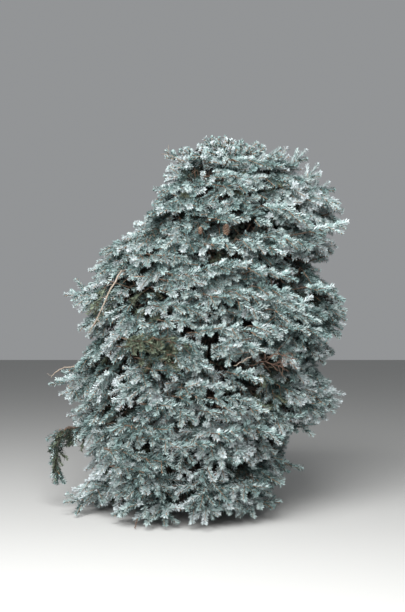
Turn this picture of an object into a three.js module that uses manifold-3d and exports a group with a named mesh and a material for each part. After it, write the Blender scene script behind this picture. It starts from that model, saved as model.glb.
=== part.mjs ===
// A blue spruce about 3.3 m tall: a broad, dense, dome-topped conifer whose foliage reaches the ground.
// One leaning trunk runs up through the crown. Boughs leave it tier by tier, and each enters one mass of
// foliage: a stem that grows on from the bough, a core of packed twigs, and needled twigs that droop out of
// the core to the crown's surface.
// Millimetres, +Z up. The origin is the middle of the flat cut under the trunk, and -Y is the front.
import * as THREE from "three";
import { mergeVertices } from "three/addons/utils/BufferGeometryUtils.js";
import Module from "manifold-3d";

const wasm = await Module();
wasm.setup();

// Trunk: radii at the ground, above the root flare and at the tip, and the lean of its top to the right.
const TRUNK_TOP = 3060;
const TRUNK_FOOT_RADIUS = 74;
const TRUNK_TIP_RADIUS = 9;
const FLARE_HEIGHT = 150;
const FLARE_GROWTH = 0.42;
const FLARE_ROOTS = 5;
const TREE_TOP = 3330;
const TOP_LEAN = 220;
const LEAN_POWER = 1.4;
const TRUNK_SWAY = 16;

// Crown: how far it reaches from the trunk on its four sides at each of these heights.
const CROWN_HEIGHTS = [0, 400, 850, 1300, 1750, 2150, 2550, 2900, 3150, 3290, 3340];
const REACH_RIGHT = [760, 850, 1150, 1140, 1290, 1130, 1250, 950, 690, 330, 0];
const REACH_LEFT = [1060, 1170, 1300, 1290, 1300, 1180, 900, 680, 540, 340, 0];
const REACH_FRONT = [1060, 1180, 1230, 1200, 1160, 1090, 980, 800, 570, 330, 0];
const REACH_BACK = [960, 1090, 1160, 1150, 1110, 1040, 930, 760, 540, 310, 0];

// Tiers: the height of each boundary between tiers at the trunk, and at the tier radius. Above the last
// boundary lies the top mass.
const TIER_RADIUS = 1200;
const TIER_AT_TRUNK = [190, 600, 1000, 1400, 1760, 2080, 2420, 2950];
const TIER_AT_RIM = [60, 570, 1060, 1560, 2060, 2540, 3040, 4600];
const RIM_DROOP = 120;
const RIM_DROOP_POWER = 6;
const TIER_WAVE = 70;
const TIER_WAVES = 3;
const TIER_MASSES = [5, 5, 6, 5, 5, 4, 4];
const TIER_TURN = [36, 0, 59, 36, 54, 72, 0];
const BOUGH_TIERS = 4;
const BOUGH_RADIUS = 19;

// Dark hollows in the front of the crown, where twigs are set back: place, half size and depth as a share.
const HOLLOWS = [
  { x: 45, z: 1450, wide: 75, high: 140, depth: 0.5 },
  { x: 300, z: 1790, wide: 170, high: 60, depth: 0.25 },
  { x: 240, z: 2640, wide: 190, high: 55, depth: 0.22 },
  { x: 400, z: 640, wide: 260, high: 60, depth: 0.25 },
  { x: 560, z: 1380, wide: 60, high: 260, depth: 0.22 },
];

// Foliage mass: where its stem and core lie, as shares of the way from the trunk to the surface.
const STEM_START = 0.4;
const STEM_RADIUS = 11;
const STEM_TIP_RADIUS = 5;
const CORE_START = [0.43, 0.43, 0.43, 0.43, 0.4, 0.3, 0.14];
const CORE_END = 0.86;
const CORE_FILL = 0.98;
const CORE_SQUARE = 3.5;
const CORE_LUMP = 0.3;
const LOBE_DEPTH = 0.14;
const CELL_FILL = 0.985;
const JOINT_GAP = 0.3;

// Needled twigs of a mass: the grid that they are dealt out on, the share of the way out where their roots
// lie inside the core, how much they fan out, and how far each tip lies below its root, in levels.
const TWIG_COLUMNS = [4, 5, 4, 5, 4, 5, 3];
const TWIG_ROWS = [2, 2, 2, 2, 2, 2, 3];
const TWIG_SPREAD = 0.86;
const TWIG_JITTER = 0.4;
const TWIG_ROOT = 0.72;
const TWIG_FAN = 0.8;
const TWIG_DROOP = [0.36, 0.4, 0.4, 0.4, 0.36, 0.3, 0.2];
const TWIG_TILT = 0.7;
const SCALE_LEAST = 0.85;
const SCALE_RANGE = 0.3;

// Spray of needles on a twig: its outline from the tip back, as shares of its length and half width. Each
// tooth stands for a side shoot, and the ridge for the twig.
const SPRAY_WIDTH = 240;
const SPRAY_THICKNESS = 30;
const SPRAY_SAG = 0.25;
const SPRAY_RIDGE = 0.55;
const SPRAY_OUTLINE = [
  [0, 0],
  [0.24, 0.2],
  [0.16, 0.66],
  [0.5, 0.36],
  [0.42, 1],
];

// Top mass: its stem and core over the trunk's tip, and how wide its twigs spread.
const TOP_CORE_HEIGHT = 3190;
const TOP_CORE_RADIUS = 92;
const TOP_STEM_END = 3240;
const TOP_STEM_LEAN = 12;
const TOP_SPREAD = 225;
const TOP_TWIGS = 7;
const TOP_SPRAY_SCALE = 0.6;
const GOLDEN_TURN = Math.PI * (3 - Math.sqrt(5));

// Cones that hang in the front of the crown, each on a short stalk.
const CONE_LENGTH = 95;
const CONE_RADIUS = 19;
const CONE_SHARE = 0.93;
const CONE_STALK_RADIUS = 6;
const CONES = [
  { mass: "5_4", azimuth: 271, level: 4.86 },
  { mass: "5_4", azimuth: 260, level: 4.9 },
  { mass: "5_4", azimuth: 287, level: 4.8 },
];

// Bare twigs that stand out past the sprays: how far each reaches from the trunk, and its radii.
const BARE_TWIG_START = 0.7;
const BARE_TWIG_RADII = [8, 3];
const BARE_TWIG_FALL = 45;
const BARE_TWIGS = [
  { mass: "3_3", azimuth: 181, level: 2.5, reach: 1395 },
  { mass: "3_5", azimuth: 287, level: 2.86, reach: 1290 },
  { mass: "3_5", azimuth: 301, level: 2.8, reach: 1270 },
  { mass: "2_3", azimuth: 165, level: 1.5, reach: 1330 },
];

// A bough end that has come down on the left: it leaves its mass, turns over at the bend and hangs beside
// the skirt. Its sprays point down, splayed to either side.
const HANGING = { mass: "2_4", azimuth: 189, level: 1.6, reach: 1300, bend: 690, foot: 265 };
const HANGING_RADII = [11, 4];
const HANGING_SPRAYS = 3;
const HANGING_SPRAY_LENGTH = 200;
const HANGING_SPRAY_SCALE = 0.5;
const HANGING_SPLAY = 0.35;

const BARK = { color: 0x5a4a3f, roughness: 0.95, metalness: 0 };
const NEEDLE_SHADES = [0x8fa9ab, 0x7f9b9f, 0x9db3b2];
const TURN = Math.PI * 2;
const UP = new THREE.Vector3(0, 0, 1);

// A seeded stream of numbers from 0 to 1.
function drawFrom(seed) {
  let state = (seed * 2654435761) >>> 0;
  return () => {
    state = (Math.imul(state, 1664525) + 1013904223) >>> 0;
    return state / 4294967296;
  };
}

// The value at place on the line through (places, values), held level past its ends.
function valueAt(places, values, place) {
  if (place <= places[0]) return values[0];
  for (let i = 1; i < places.length; i++) {
    if (place <= places[i]) {
      const share = (place - places[i - 1]) / (places[i] - places[i - 1]);
      return values[i - 1] + (values[i] - values[i - 1]) * share;
    }
  }
  return values[values.length - 1];
}

// The trunk's centre at a height: it leans more and more to the right, with one slight sway.
function trunkCentre(z) {
  const share = Math.max(z, 0) / TREE_TOP;
  return {
    x: TOP_LEAN * share ** LEAN_POWER,
    y: TRUNK_SWAY * Math.sin(TURN * share),
  };
}

// The crown's reach from the trunk at an azimuth and height: a quarter ellipse between two sides.
function crownReach(azimuth, z) {
  const across = Math.cos(azimuth);
  const deep = Math.sin(azimuth);
  const side = valueAt(CROWN_HEIGHTS, across > 0 ? REACH_RIGHT : REACH_LEFT, z);
  const end = valueAt(CROWN_HEIGHTS, deep > 0 ? REACH_BACK : REACH_FRONT, z);
  return (side * end) / Math.max(Math.hypot(end * across, side * deep), 1e-6);
}

// The height of a tier level at a distance and azimuth from the trunk. Level 2.5 is halfway through the
// third tier. Levels droop at the rim, and rise and fall in slow waves round the tree.
function levelHeight(level, radius, azimuth) {
  const levels = TIER_AT_TRUNK.map((_, i) => i);
  const inner = valueAt(levels, TIER_AT_TRUNK, level);
  const outer = valueAt(levels, TIER_AT_RIM, level);
  const out = radius / TIER_RADIUS;
  const wave = TIER_WAVE * Math.min(level, 1) * Math.sin(TIER_WAVES * azimuth + 2 * level);
  return inner + (outer - inner + wave) * out - RIM_DROOP * out ** RIM_DROOP_POWER;
}

// How far out a tier level meets the crown's surface.
function surfaceRadius(azimuth, level) {
  let low = 20;
  let high = 2000;
  for (let i = 0; i < 30; i++) {
    const middle = (low + high) / 2;
    if (crownReach(azimuth, levelHeight(level, middle, azimuth)) > middle) low = middle;
    else high = middle;
  }
  return low;
}

// A point of the crown from its azimuth, tier level and share of the way out to the surface.
function crownPoint(azimuth, level, share) {
  const radius = share * surfaceRadius(azimuth, level);
  const z = levelHeight(level, radius, azimuth);
  const centre = trunkCentre(z);
  return new THREE.Vector3(
    centre.x + radius * Math.cos(azimuth),
    centre.y + radius * Math.sin(azimuth),
    z,
  );
}

// How much of the way out a twig may go at a point, in from the dark hollows of the front.
function hollowShare(point) {
  let share = 1;
  if (point.y > 0) return share;
  for (const hollow of HOLLOWS) {
    const across = (point.x - hollow.x) / hollow.wide;
    const up = (point.z - hollow.z) / hollow.high;
    share *= 1 - hollow.depth * Math.exp(-across * across - up * up);
  }
  return share;
}

// A closed three.js geometry with its shared vertices merged.
function welded(geometry) {
  geometry.deleteAttribute("normal");
  geometry.deleteAttribute("uv");
  return mergeVertices(geometry, 1e-3);
}

// A welded geometry as a solid.
function solidOf(geometry) {
  return new wasm.Manifold(
    new wasm.Mesh({
      numProp: 3,
      vertProperties: geometry.getAttribute("position").array,
      triVerts: new Uint32Array(geometry.index.array),
    }),
  );
}

// A solid as a named mesh.
function meshOf(name, solid, finish) {
  const made = solid.getMesh();
  const geometry = new THREE.BufferGeometry();
  geometry.setAttribute("position", new THREE.BufferAttribute(made.vertProperties, 3));
  geometry.setIndex(new THREE.BufferAttribute(made.triVerts, 1));
  geometry.computeVertexNormals();
  const mesh = new THREE.Mesh(geometry, new THREE.MeshStandardMaterial(finish));
  mesh.name = name;
  return mesh;
}

// Moves every vertex of a geometry to where place(x, y, z) puts it.
function shaped(geometry, place) {
  const position = geometry.getAttribute("position");
  for (let i = 0; i < position.count; i++) {
    const moved = place(position.getX(i), position.getY(i), position.getZ(i));
    position.setXYZ(i, moved.x, moved.y, moved.z);
  }
  return geometry;
}

// The trunk, or the same shape grown by a gap, with its root flare and flat foot.
function trunkSolid(grown) {
  const sides = 15;
  const heights = [0, 50, 110, 200, 450, 800, 1200, 1600, 2000, 2400, 2750, TRUNK_TOP];
  const outline = [new THREE.Vector2(0, 0)];
  for (const z of heights) {
    const taper = TRUNK_FOOT_RADIUS + ((TRUNK_TIP_RADIUS - TRUNK_FOOT_RADIUS) * z) / TRUNK_TOP;
    outline.push(new THREE.Vector2(taper + grown, z));
  }
  outline.push(new THREE.Vector2(0, TRUNK_TOP));
  const lathe = welded(new THREE.LatheGeometry(outline, sides));
  return solidOf(
    shaped(lathe, (x, y, z) => {
      const turn = Math.atan2(z, x);
      const low = Math.max(0, 1 - y / FLARE_HEIGHT);
      const flare = 1 + FLARE_GROWTH * low * low * (0.6 + 0.4 * Math.cos(FLARE_ROOTS * turn));
      const centre = trunkCentre(y);
      return new THREE.Vector3(centre.x + x * flare, centre.y - z * flare, y);
    }),
  );
}

// A tapering limb along a curve, with flat ends.
function limbSolid(points, startRadius, endRadius, sides, steps) {
  const curve = new THREE.CatmullRomCurve3(points);
  const frames = curve.computeFrenetFrames(steps, false);
  const limb = welded(new THREE.CylinderGeometry(1, 1, steps, sides, steps));
  return solidOf(
    shaped(limb, (x, y, z) => {
      const step = Math.round(y + steps / 2);
      const share = step / steps;
      const radius = startRadius + (endRadius - startRadius) * share;
      return curve
        .getPointAt(share)
        .addScaledVector(frames.binormals[step], x * radius)
        .addScaledVector(frames.normals[step], z * radius);
    }),
  );
}

// A spray of needles from its root to its tip: a toothed blade with a raised ridge.
function spraySolid({ root, tip, roll, scale }) {
  const along = tip.clone().sub(root);
  const length = along.length();
  along.normalize();
  const side = new THREE.Vector3().crossVectors(UP, along).normalize().applyAxisAngle(along, roll);
  const over = new THREE.Vector3().crossVectors(along, side);
  const half = SPRAY_OUTLINE.map(([back, wide]) => [back * length, (wide * SPRAY_WIDTH * scale) / 2]);
  const ring = [...half, [length, 0], ...half.slice(1).reverse().map(([back, wide]) => [back, -wide])];
  const blade = welded(new THREE.SphereGeometry(1, ring.length, 2));
  return solidOf(
    shaped(blade, (x, y, z) => {
      if (Math.abs(y) > 0.5) {
        return tip
          .clone()
          .addScaledVector(along, -SPRAY_RIDGE * length)
          .addScaledVector(over, (y * SPRAY_THICKNESS * scale) / 2);
      }
      const at = Math.round((Math.atan2(z, -x) / TURN + 1) * ring.length) % ring.length;
      const [back, wide] = ring[at];
      return tip
        .clone()
        .addScaledVector(along, -back)
        .addScaledVector(side, wide)
        .addScaledVector(over, -Math.abs(wide) * SPRAY_SAG);
    }),
  );
}

// How far to push a point of a ball out to turn it into a block with round edges.
function squareness(x, y, z) {
  const sum = [x, y, z].reduce((total, part) => total + Math.abs(part) ** CORE_SQUARE, 0);
  return sum ** (-1 / CORE_SQUARE);
}

// The lumpy core of a mass: a ball bent to the mass's own part of the crown.
function coreSolid(cell) {
  const draw = drawFrom(cell.seed + 500);
  const ball = welded(new THREE.SphereGeometry(1, 8, 4));
  return solidOf(
    shaped(ball, (x, y, z) => {
      const size = squareness(x, y, z) * CORE_FILL;
      const share = cell.coreMiddle + x * size * (1 - CORE_LUMP * draw()) * (CORE_END - cell.coreMiddle);
      const azimuth = cell.azimuth - z * size * cell.halfTurn;
      const level = cell.level + (y * size) / 2;
      const set = hollowShare(crownPoint(azimuth, level, share));
      return crownPoint(azimuth, level, share * set);
    }),
  );
}

// How far out a twig of the mass reaches: less near the mass's edges, and less at the dark hollows.
function twigReach(cell, azimuth, level) {
  const across = (azimuth - cell.azimuth) / cell.halfTurn;
  const up = (level - cell.level) * 2;
  const lobe = 1 - LOBE_DEPTH * (0.6 * Math.abs(across) ** 3 + 0.4 * Math.abs(up) ** 3);
  return lobe * hollowShare(crownPoint(azimuth, level, lobe));
}

// The route of a limb along the middle of a mass's part of the crown, with a slight sag.
function limbRoute(cell, start, end) {
  const route = [];
  for (let i = 0; i <= 3; i++) {
    const share = start + ((end - start) * i) / 3;
    route.push(crownPoint(cell.azimuth, cell.level - 0.05 * Math.sin(Math.PI * share), share));
  }
  return route;
}

// True if a point is within the mass's own part of the crown.
function inCell(cell, point) {
  const centre = trunkCentre(point.z);
  const radius = Math.hypot(point.x - centre.x, point.y - centre.y);
  let off = Math.atan2(point.y - centre.y, point.x - centre.x) - cell.azimuth;
  off -= TURN * Math.round(off / TURN);
  const azimuth = cell.azimuth + off;
  const low = levelHeight(cell.tier, radius, azimuth);
  const high = levelHeight(cell.tier + 1, radius, azimuth);
  const up = Math.abs((point.z - low) / (high - low) - 0.5) * 2;
  return Math.abs(off) < cell.halfTurn && up < 0.98 && point.z > 5;
}

// True if a spray stays in the mass's own space, at its tip and its teeth.
function sprayFits(cell, { root, tip, roll, scale }) {
  const along = tip.clone().sub(root);
  const side = new THREE.Vector3().crossVectors(UP, along).normalize();
  side.applyAxisAngle(along.clone().normalize(), roll);
  const spots = [tip];
  for (const [back, wide] of [SPRAY_OUTLINE[2], SPRAY_OUTLINE[4]]) {
    for (const hand of [-1, 1]) {
      const tooth = tip.clone().addScaledVector(along, -back);
      spots.push(tooth.addScaledVector(side, (hand * wide * SPRAY_WIDTH * scale) / 2));
    }
  }
  return spots.every((spot) => inCell(cell, spot));
}

// The needled twigs of a mass: each stands out of the core and ends near the crown's surface.
function spraysOf(cell) {
  const draw = drawFrom(cell.seed);
  const columns = TWIG_COLUMNS[cell.tier];
  const rows = TWIG_ROWS[cell.tier];
  const droop = TWIG_DROOP[cell.tier];
  const sprays = [];
  for (let column = 0; column < columns; column++) {
    for (let row = 0; row < rows; row++) {
      const across = ((column + 0.5 + TWIG_JITTER * (draw() - 0.5)) / columns) * 2 - 1;
      const up = (row / (rows - 1)) * 2 - 1 + TWIG_JITTER * (draw() - 0.5);
      const azimuth = cell.azimuth + across * cell.halfTurn * TWIG_SPREAD;
      const high = cell.level + (up * (TWIG_SPREAD - droop) + droop) / 2;
      const low = high - droop;
      const rootAzimuth = cell.azimuth + (azimuth - cell.azimuth) * TWIG_FAN;
      sprays.push({
        root: crownPoint(rootAzimuth, high, TWIG_ROOT * twigReach(cell, rootAzimuth, high)),
        tip: crownPoint(azimuth, low, twigReach(cell, azimuth, low)),
        roll: (draw() - 0.5) * TWIG_TILT,
        scale: SCALE_LEAST + SCALE_RANGE * draw(),
      });
    }
  }
  return sprays;
}

// A point straight out from the trunk, at an azimuth, distance and height.
function outPoint(azimuth, radius, z) {
  const centre = trunkCentre(z);
  return new THREE.Vector3(
    centre.x + radius * Math.cos(azimuth),
    centre.y + radius * Math.sin(azimuth),
    z,
  );
}

// A cone on its stalk.
function coneSolids({ azimuth, level }) {
  const turn = (azimuth * Math.PI) / 180;
  const inside = crownPoint(turn, level, BARE_TWIG_START);
  const top = crownPoint(turn, level, CONE_SHARE);
  const ball = welded(new THREE.SphereGeometry(1, 6, 3));
  const cone = shaped(ball, (x, y, z) => {
    return new THREE.Vector3(
      top.x + x * CONE_RADIUS,
      top.y - z * CONE_RADIUS,
      top.z + ((y - 0.7) * CONE_LENGTH) / 2,
    );
  });
  return [limbSolid([inside, top], CONE_STALK_RADIUS, CONE_STALK_RADIUS - 1, 3, 1), solidOf(cone)];
}

// A bare twig that stands out of its mass.
function bareTwigSolid({ azimuth, level, reach }) {
  const turn = (azimuth * Math.PI) / 180;
  const inside = crownPoint(turn, level, BARE_TWIG_START);
  const tip = outPoint(turn, reach, inside.z - BARE_TWIG_FALL);
  return limbSolid([inside, tip], ...BARE_TWIG_RADII, 3, 1);
}

// The hanging bough end with its sprays.
function hangingSolids({ azimuth, level, reach, bend, foot }) {
  const turn = (azimuth * Math.PI) / 180;
  const outward = new THREE.Vector3(Math.cos(turn), Math.sin(turn), 0);
  const sideways = new THREE.Vector3(-Math.sin(turn), Math.cos(turn), 0);
  const below = HANGING_SPRAY_LENGTH * 0.6;
  const curve = new THREE.CatmullRomCurve3([
    crownPoint(turn, level, BARE_TWIG_START),
    outPoint(turn, reach - 45, bend),
    outPoint(turn, reach, (bend * 2 + foot) / 3),
    outPoint(turn, reach - 15, foot + below),
  ]);
  const pieces = [limbSolid(curve.points, ...HANGING_RADII, 3, 4)];
  for (let i = 0; i < HANGING_SPRAYS; i++) {
    const root = curve.getPointAt(0.97 - 0.15 * i);
    const splay = i === 0 ? 0 : HANGING_SPLAY;
    const along = new THREE.Vector3(0, 0, -1)
      .addScaledVector(outward, splay)
      .addScaledVector(sideways, i % 2 === 0 ? splay : -splay)
      .normalize();
    pieces.push(
      spraySolid({
        root: root.clone().addScaledVector(along, below - HANGING_SPRAY_LENGTH),
        tip: root.clone().addScaledVector(along, below),
        roll: 0,
        scale: HANGING_SPRAY_SCALE,
      }),
    );
  }
  return pieces;
}

// One mass of foliage: stem, core, sprays and whatever else hangs in it, fused into one solid.
function massSolid(cell) {
  const route = limbRoute(cell, cell.stemStart, cell.coreMiddle);
  if (cell.stemStart > 0) {
    const along = route[1].clone().sub(route[0]).normalize();
    route[0].addScaledVector(along, JOINT_GAP);
  }
  const pieces = [limbSolid(route, STEM_RADIUS, STEM_TIP_RADIUS, 5, 2), coreSolid(cell)];
  for (const spray of spraysOf(cell)) {
    if (sprayFits(cell, spray)) pieces.push(spraySolid(spray));
  }
  for (const cone of CONES.filter(({ mass }) => mass === cell.name)) pieces.push(...coneSolids(cone));
  for (const twig of BARE_TWIGS.filter(({ mass }) => mass === cell.name)) pieces.push(bareTwigSolid(twig));
  if (cell.name === HANGING.mass) pieces.push(...hangingSolids(HANGING));
  return wasm.Manifold.union(pieces);
}

// The height of the crown's surface at a distance from the trunk, near the top.
function capHeight(azimuth, radius) {
  let low = 3000;
  let high = 3400;
  for (let i = 0; i < 30; i++) {
    const middle = (low + high) / 2;
    if (crownReach(azimuth, middle) > radius) low = middle;
    else high = middle;
  }
  return low;
}

// The top mass: a stem over the trunk's tip, a small core and twigs in a spiral.
function topSolid() {
  const draw = drawFrom(900);
  const centre = trunkCentre(TRUNK_TOP);
  const foot = new THREE.Vector3(centre.x, centre.y, TRUNK_TOP + JOINT_GAP);
  const head = new THREE.Vector3(centre.x + TOP_STEM_LEAN, centre.y, TOP_STEM_END);
  const ball = welded(new THREE.SphereGeometry(1, 8, 4));
  const core = shaped(ball, (x, y, z) => {
    const size = TOP_CORE_RADIUS * (1 - CORE_LUMP * draw());
    return new THREE.Vector3(centre.x + x * size, centre.y - z * size, TOP_CORE_HEIGHT + y * size);
  });
  const pieces = [limbSolid([foot, head], TRUNK_TIP_RADIUS, STEM_TIP_RADIUS, 5, 1), solidOf(core)];
  for (let i = 0; i < TOP_TWIGS; i++) {
    const azimuth = GOLDEN_TURN * i;
    const radius = TOP_SPREAD * Math.sqrt(i / TOP_TWIGS);
    const root = foot.clone().lerp(head, 0.4 + 0.2 * draw());
    const tip = new THREE.Vector3(
      centre.x + radius * Math.cos(azimuth),
      centre.y + radius * Math.sin(azimuth),
      capHeight(azimuth, radius),
    );
    pieces.push(spraySolid({ root, tip, roll: draw() * TURN, scale: TOP_SPRAY_SCALE }));
  }
  return wasm.Manifold.union(pieces);
}

// The largest single body of a solid.
function largestOf(solid) {
  return solid.decompose().reduce((a, b) => (b.volume() > a.volume() ? b : a));
}

const tree = new THREE.Group();
tree.name = "blue_spruce";
tree.add(meshOf("trunk", trunkSolid(0), BARK));
const trunkRoom = trunkSolid(JOINT_GAP);

TIER_MASSES.forEach((count, tier) => {
  for (let i = 0; i < count; i++) {
    const cell = {
      name: `${tier + 1}_${i + 1}`,
      tier,
      seed: 100 + tier * 10 + i,
      azimuth: (TIER_TURN[tier] * Math.PI) / 180 + (TURN * i) / count,
      halfTurn: (Math.PI / count) * CELL_FILL,
      level: tier + 0.5,
      coreMiddle: (CORE_START[tier] + CORE_END) / 2,
      stemStart: tier < BOUGH_TIERS ? STEM_START : 0,
    };
    if (cell.stemStart > 0) {
      const bough = limbSolid(limbRoute(cell, 0, STEM_START), BOUGH_RADIUS, STEM_RADIUS, 5, 2);
      tree.add(meshOf(`bough_${cell.name}`, largestOf(bough.subtract(trunkRoom)), BARK));
    }
    const finish = { color: NEEDLE_SHADES[(tier + i) % 3], roughness: 0.8, metalness: 0 };
    const mass = massSolid(cell).subtract(trunkRoom);
    tree.add(meshOf(`foliage_${cell.name}`, largestOf(mass), finish));
  }
});
const topFinish = { color: NEEDLE_SHADES[0], roughness: 0.8, metalness: 0 };
tree.add(meshOf("foliage_top", largestOf(topSolid().subtract(trunkRoom)), topFinish));

export default tree;
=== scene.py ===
import math
from collections import namedtuple

import bmesh
import bpy
import numpy as np
from mathutils import Matrix, Vector, noise


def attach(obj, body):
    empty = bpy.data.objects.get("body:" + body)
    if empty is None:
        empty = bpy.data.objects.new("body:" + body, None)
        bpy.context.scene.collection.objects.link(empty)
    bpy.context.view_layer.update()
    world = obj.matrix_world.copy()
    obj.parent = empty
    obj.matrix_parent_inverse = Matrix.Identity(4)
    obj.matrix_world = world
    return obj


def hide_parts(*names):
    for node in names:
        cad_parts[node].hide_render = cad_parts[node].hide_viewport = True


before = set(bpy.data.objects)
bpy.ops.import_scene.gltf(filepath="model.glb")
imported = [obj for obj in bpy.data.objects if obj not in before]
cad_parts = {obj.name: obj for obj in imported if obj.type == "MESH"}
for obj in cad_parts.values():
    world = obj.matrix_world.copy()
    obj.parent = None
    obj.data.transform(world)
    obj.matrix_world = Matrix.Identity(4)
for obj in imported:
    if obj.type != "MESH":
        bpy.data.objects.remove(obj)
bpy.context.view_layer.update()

# View
# The camera stands at eye height in front of the tree and looks a little upwards, so that the horizon lies
# level with the middle of the crown.
EYE_PLACE = (-0.02, -8.2, 1.6)
EYE_TILT = math.radians(1.5)
LENS_LENGTH = 53.4
SENSOR_SIDE = 36


def shown(name, data):
    """A new object in the scene."""
    piece = bpy.data.objects.new(name, data)
    bpy.context.scene.collection.objects.link(piece)
    return piece


lens = bpy.data.cameras.new("view")
lens.lens = LENS_LENGTH
lens.sensor_width = SENSOR_SIDE
camera = shown("view", lens)
camera.location = EYE_PLACE
camera.rotation_euler = (math.radians(90) + EYE_TILT, 0, 0)
bpy.context.scene.camera = camera

# Floor and light
# A plain pale floor and an even grey surround. One wide soft light hangs in front, above the camera and a
# little to the left, as under an overcast sky.
FLOOR_HALF = 40
FLOOR_SHADE = (0.45, 0.45, 0.44, 1)
SURROUND_SHADE = (0.81, 0.83, 0.85, 1)
SURROUND_STRENGTH = 0.36
SKY_PANEL_SIZE = 6.5
SKY_PANEL_POWER = 2200
SKY_PANEL_PLACE = Vector((-1.5, -7.4, 6.2))
SKY_PANEL_AIM = Vector((0, 0, 1.5))


def piece_of(name, shape, *finishes, smooth=True):
    """A new object in the scene for a finished shape, with its finishes."""
    mesh = bpy.data.meshes.new(name)
    shape.to_mesh(mesh)
    shape.free()
    if smooth:
        mesh.shade_smooth()
    for finish in finishes:
        mesh.materials.append(finish)
    return shown(name, mesh)


def tuned(node, values):
    """A node with values for some of its inputs."""
    for name, value in values.items():
        node.inputs[name].default_value = value
    return node


def shader(name, roughness, specular):
    """A material, its node tree and its surface shader."""
    finish = bpy.data.materials.new(name)
    finish.use_nodes = True
    surface = finish.node_tree.nodes["Principled BSDF"]
    tuned(surface, {"Roughness": roughness, "Specular IOR Level": specular})
    return finish, finish.node_tree, surface


def plain_finish(name, shade, roughness, specular):
    """One plain colour."""
    finish, _, surface = shader(name, roughness, specular)
    tuned(surface, {"Base Color": shade})
    return finish


floor_shape = bmesh.new()
bmesh.ops.create_grid(floor_shape, x_segments=1, y_segments=1, size=FLOOR_HALF)
floor_finish = plain_finish("floor", FLOOR_SHADE, roughness=0.9, specular=0.2)
floor = piece_of("floor", floor_shape, floor_finish, smooth=False)

surround = bpy.data.worlds.new("surround")
surround.use_nodes = True
tuned(surround.node_tree.nodes["Background"], {"Color": SURROUND_SHADE, "Strength": SURROUND_STRENGTH})
bpy.context.scene.world = surround
bpy.context.scene.view_settings.view_transform = "Standard"

panel_data = bpy.data.lights.new("sky_panel", "AREA")
panel_data.size = SKY_PANEL_SIZE
panel_data.energy = SKY_PANEL_POWER
panel = shown("sky_panel", panel_data)
panel.location = SKY_PANEL_PLACE
panel.rotation_euler = (SKY_PANEL_AIM - SKY_PANEL_PLACE).to_track_quat("-Z", "Y").to_euler()

# Trunk
# One leaning stem under thin, scaly, grey-brown bark. It swells at the ground where the roots leave it, is
# cut flat there, and runs up through the whole crown.
TURN = math.tau
TREE_TOP = 3.33
TRUNK_TOP = 3.06
TRUNK_FOOT_RADIUS = 0.074
TRUNK_TIP_RADIUS = 0.009
FLARE_HEIGHT = 0.15
FLARE_GROWTH = 0.42
FLARE_ROOTS = 5
ROOT_RIDGE = 0.4
TOP_LEAN = 0.22
LEAN_POWER = 1.4
TRUNK_SWAY = 0.016
TRUNK_SIDES = 48
TRUNK_RINGS = 190
SCALE_ACROSS = 0.03
SCALE_HIGH = 0.045
SCALE_RELIEF = 0.0035
SCALE_EDGE = 3.5
GRAIN_RELIEF = 0.6
GRAIN_SIZE = 0.7
FULL_RELIEF_RADIUS = 0.03
BARK_PALE = (0.19, 0.15, 0.12, 1)
BARK_DARK = (0.035, 0.026, 0.02, 1)
BARK_STRETCH = (1, 1, 0.6)
CRACK_EDGES = (0.02, 0.16)
FIBRE_GRAIN = 2.2
FIBRE_DETAIL = 6
PATCH_DEPTH = 0.55
BUMP_STRENGTH = 0.7


def level_way(turn):
    """The level direction at a turn around the trunk."""
    return Vector((math.cos(turn), math.sin(turn), 0))


def lift(height):
    """A move straight up, or down if it is negative."""
    return Vector((0, 0, height))


def trunk_centre(z):
    """The trunk's centre at a height: it leans more and more to the right, with one slight sway."""
    share = max(z, 0) / TREE_TOP
    return Vector((TOP_LEAN * share**LEAN_POWER, TRUNK_SWAY * math.sin(TURN * share), 0))


def bark_relief(place):
    """How far the bark stands out at a point: flat scales with cracks between them."""
    spot = Vector((place.x / SCALE_ACROSS, place.y / SCALE_ACROSS, place.z / SCALE_HIGH))
    near = noise.voronoi(spot)[0]
    scale_edge = min(1, SCALE_EDGE * (near[1] - near[0]))
    return SCALE_RELIEF * (scale_edge + GRAIN_RELIEF * noise.noise(spot * GRAIN_SIZE))


def bark_finish(name, pale, dark, grain, relief):
    """Bark: pale scales, dark cracks, and grey patches that come and go along the limb."""
    finish, tree, surface = shader(name, 0.9, 0.25)

    def node(kind, **values):
        return tuned(tree.nodes.new("ShaderNode" + kind), values)

    place = node("TexCoord")
    stretch = node("Mapping", Scale=BARK_STRETCH)
    scales = node("TexVoronoi", Scale=grain)
    scales.feature = "DISTANCE_TO_EDGE"
    fibres = node("TexNoise", Scale=grain * FIBRE_GRAIN, Detail=FIBRE_DETAIL)
    cracks = node("ValToRGB")
    for stop, edge, shade in zip(cracks.color_ramp.elements, CRACK_EDGES, (dark, pale)):
        stop.position = edge
        stop.color = shade
    patches = node("Mix")
    patches.data_type = "RGBA"
    patches.blend_type = "MULTIPLY"
    tuned(patches, {"Factor": PATCH_DEPTH})
    bump = node("Bump", Strength=BUMP_STRENGTH, Distance=relief)
    for start, output, end, entry in (
        (place, "Object", stretch, "Vector"),
        (stretch, "Vector", scales, "Vector"),
        (stretch, "Vector", fibres, "Vector"),
        (scales, "Distance", cracks, "Fac"),
        (cracks, "Color", patches, "A"),
        (fibres, "Color", patches, "B"),
        (patches, "Result", surface, "Base Color"),
        (fibres, "Fac", bump, "Height"),
        (bump, "Normal", surface, "Normal"),
    ):
        tree.links.new(start.outputs[output], end.inputs[entry])
    return finish


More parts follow.
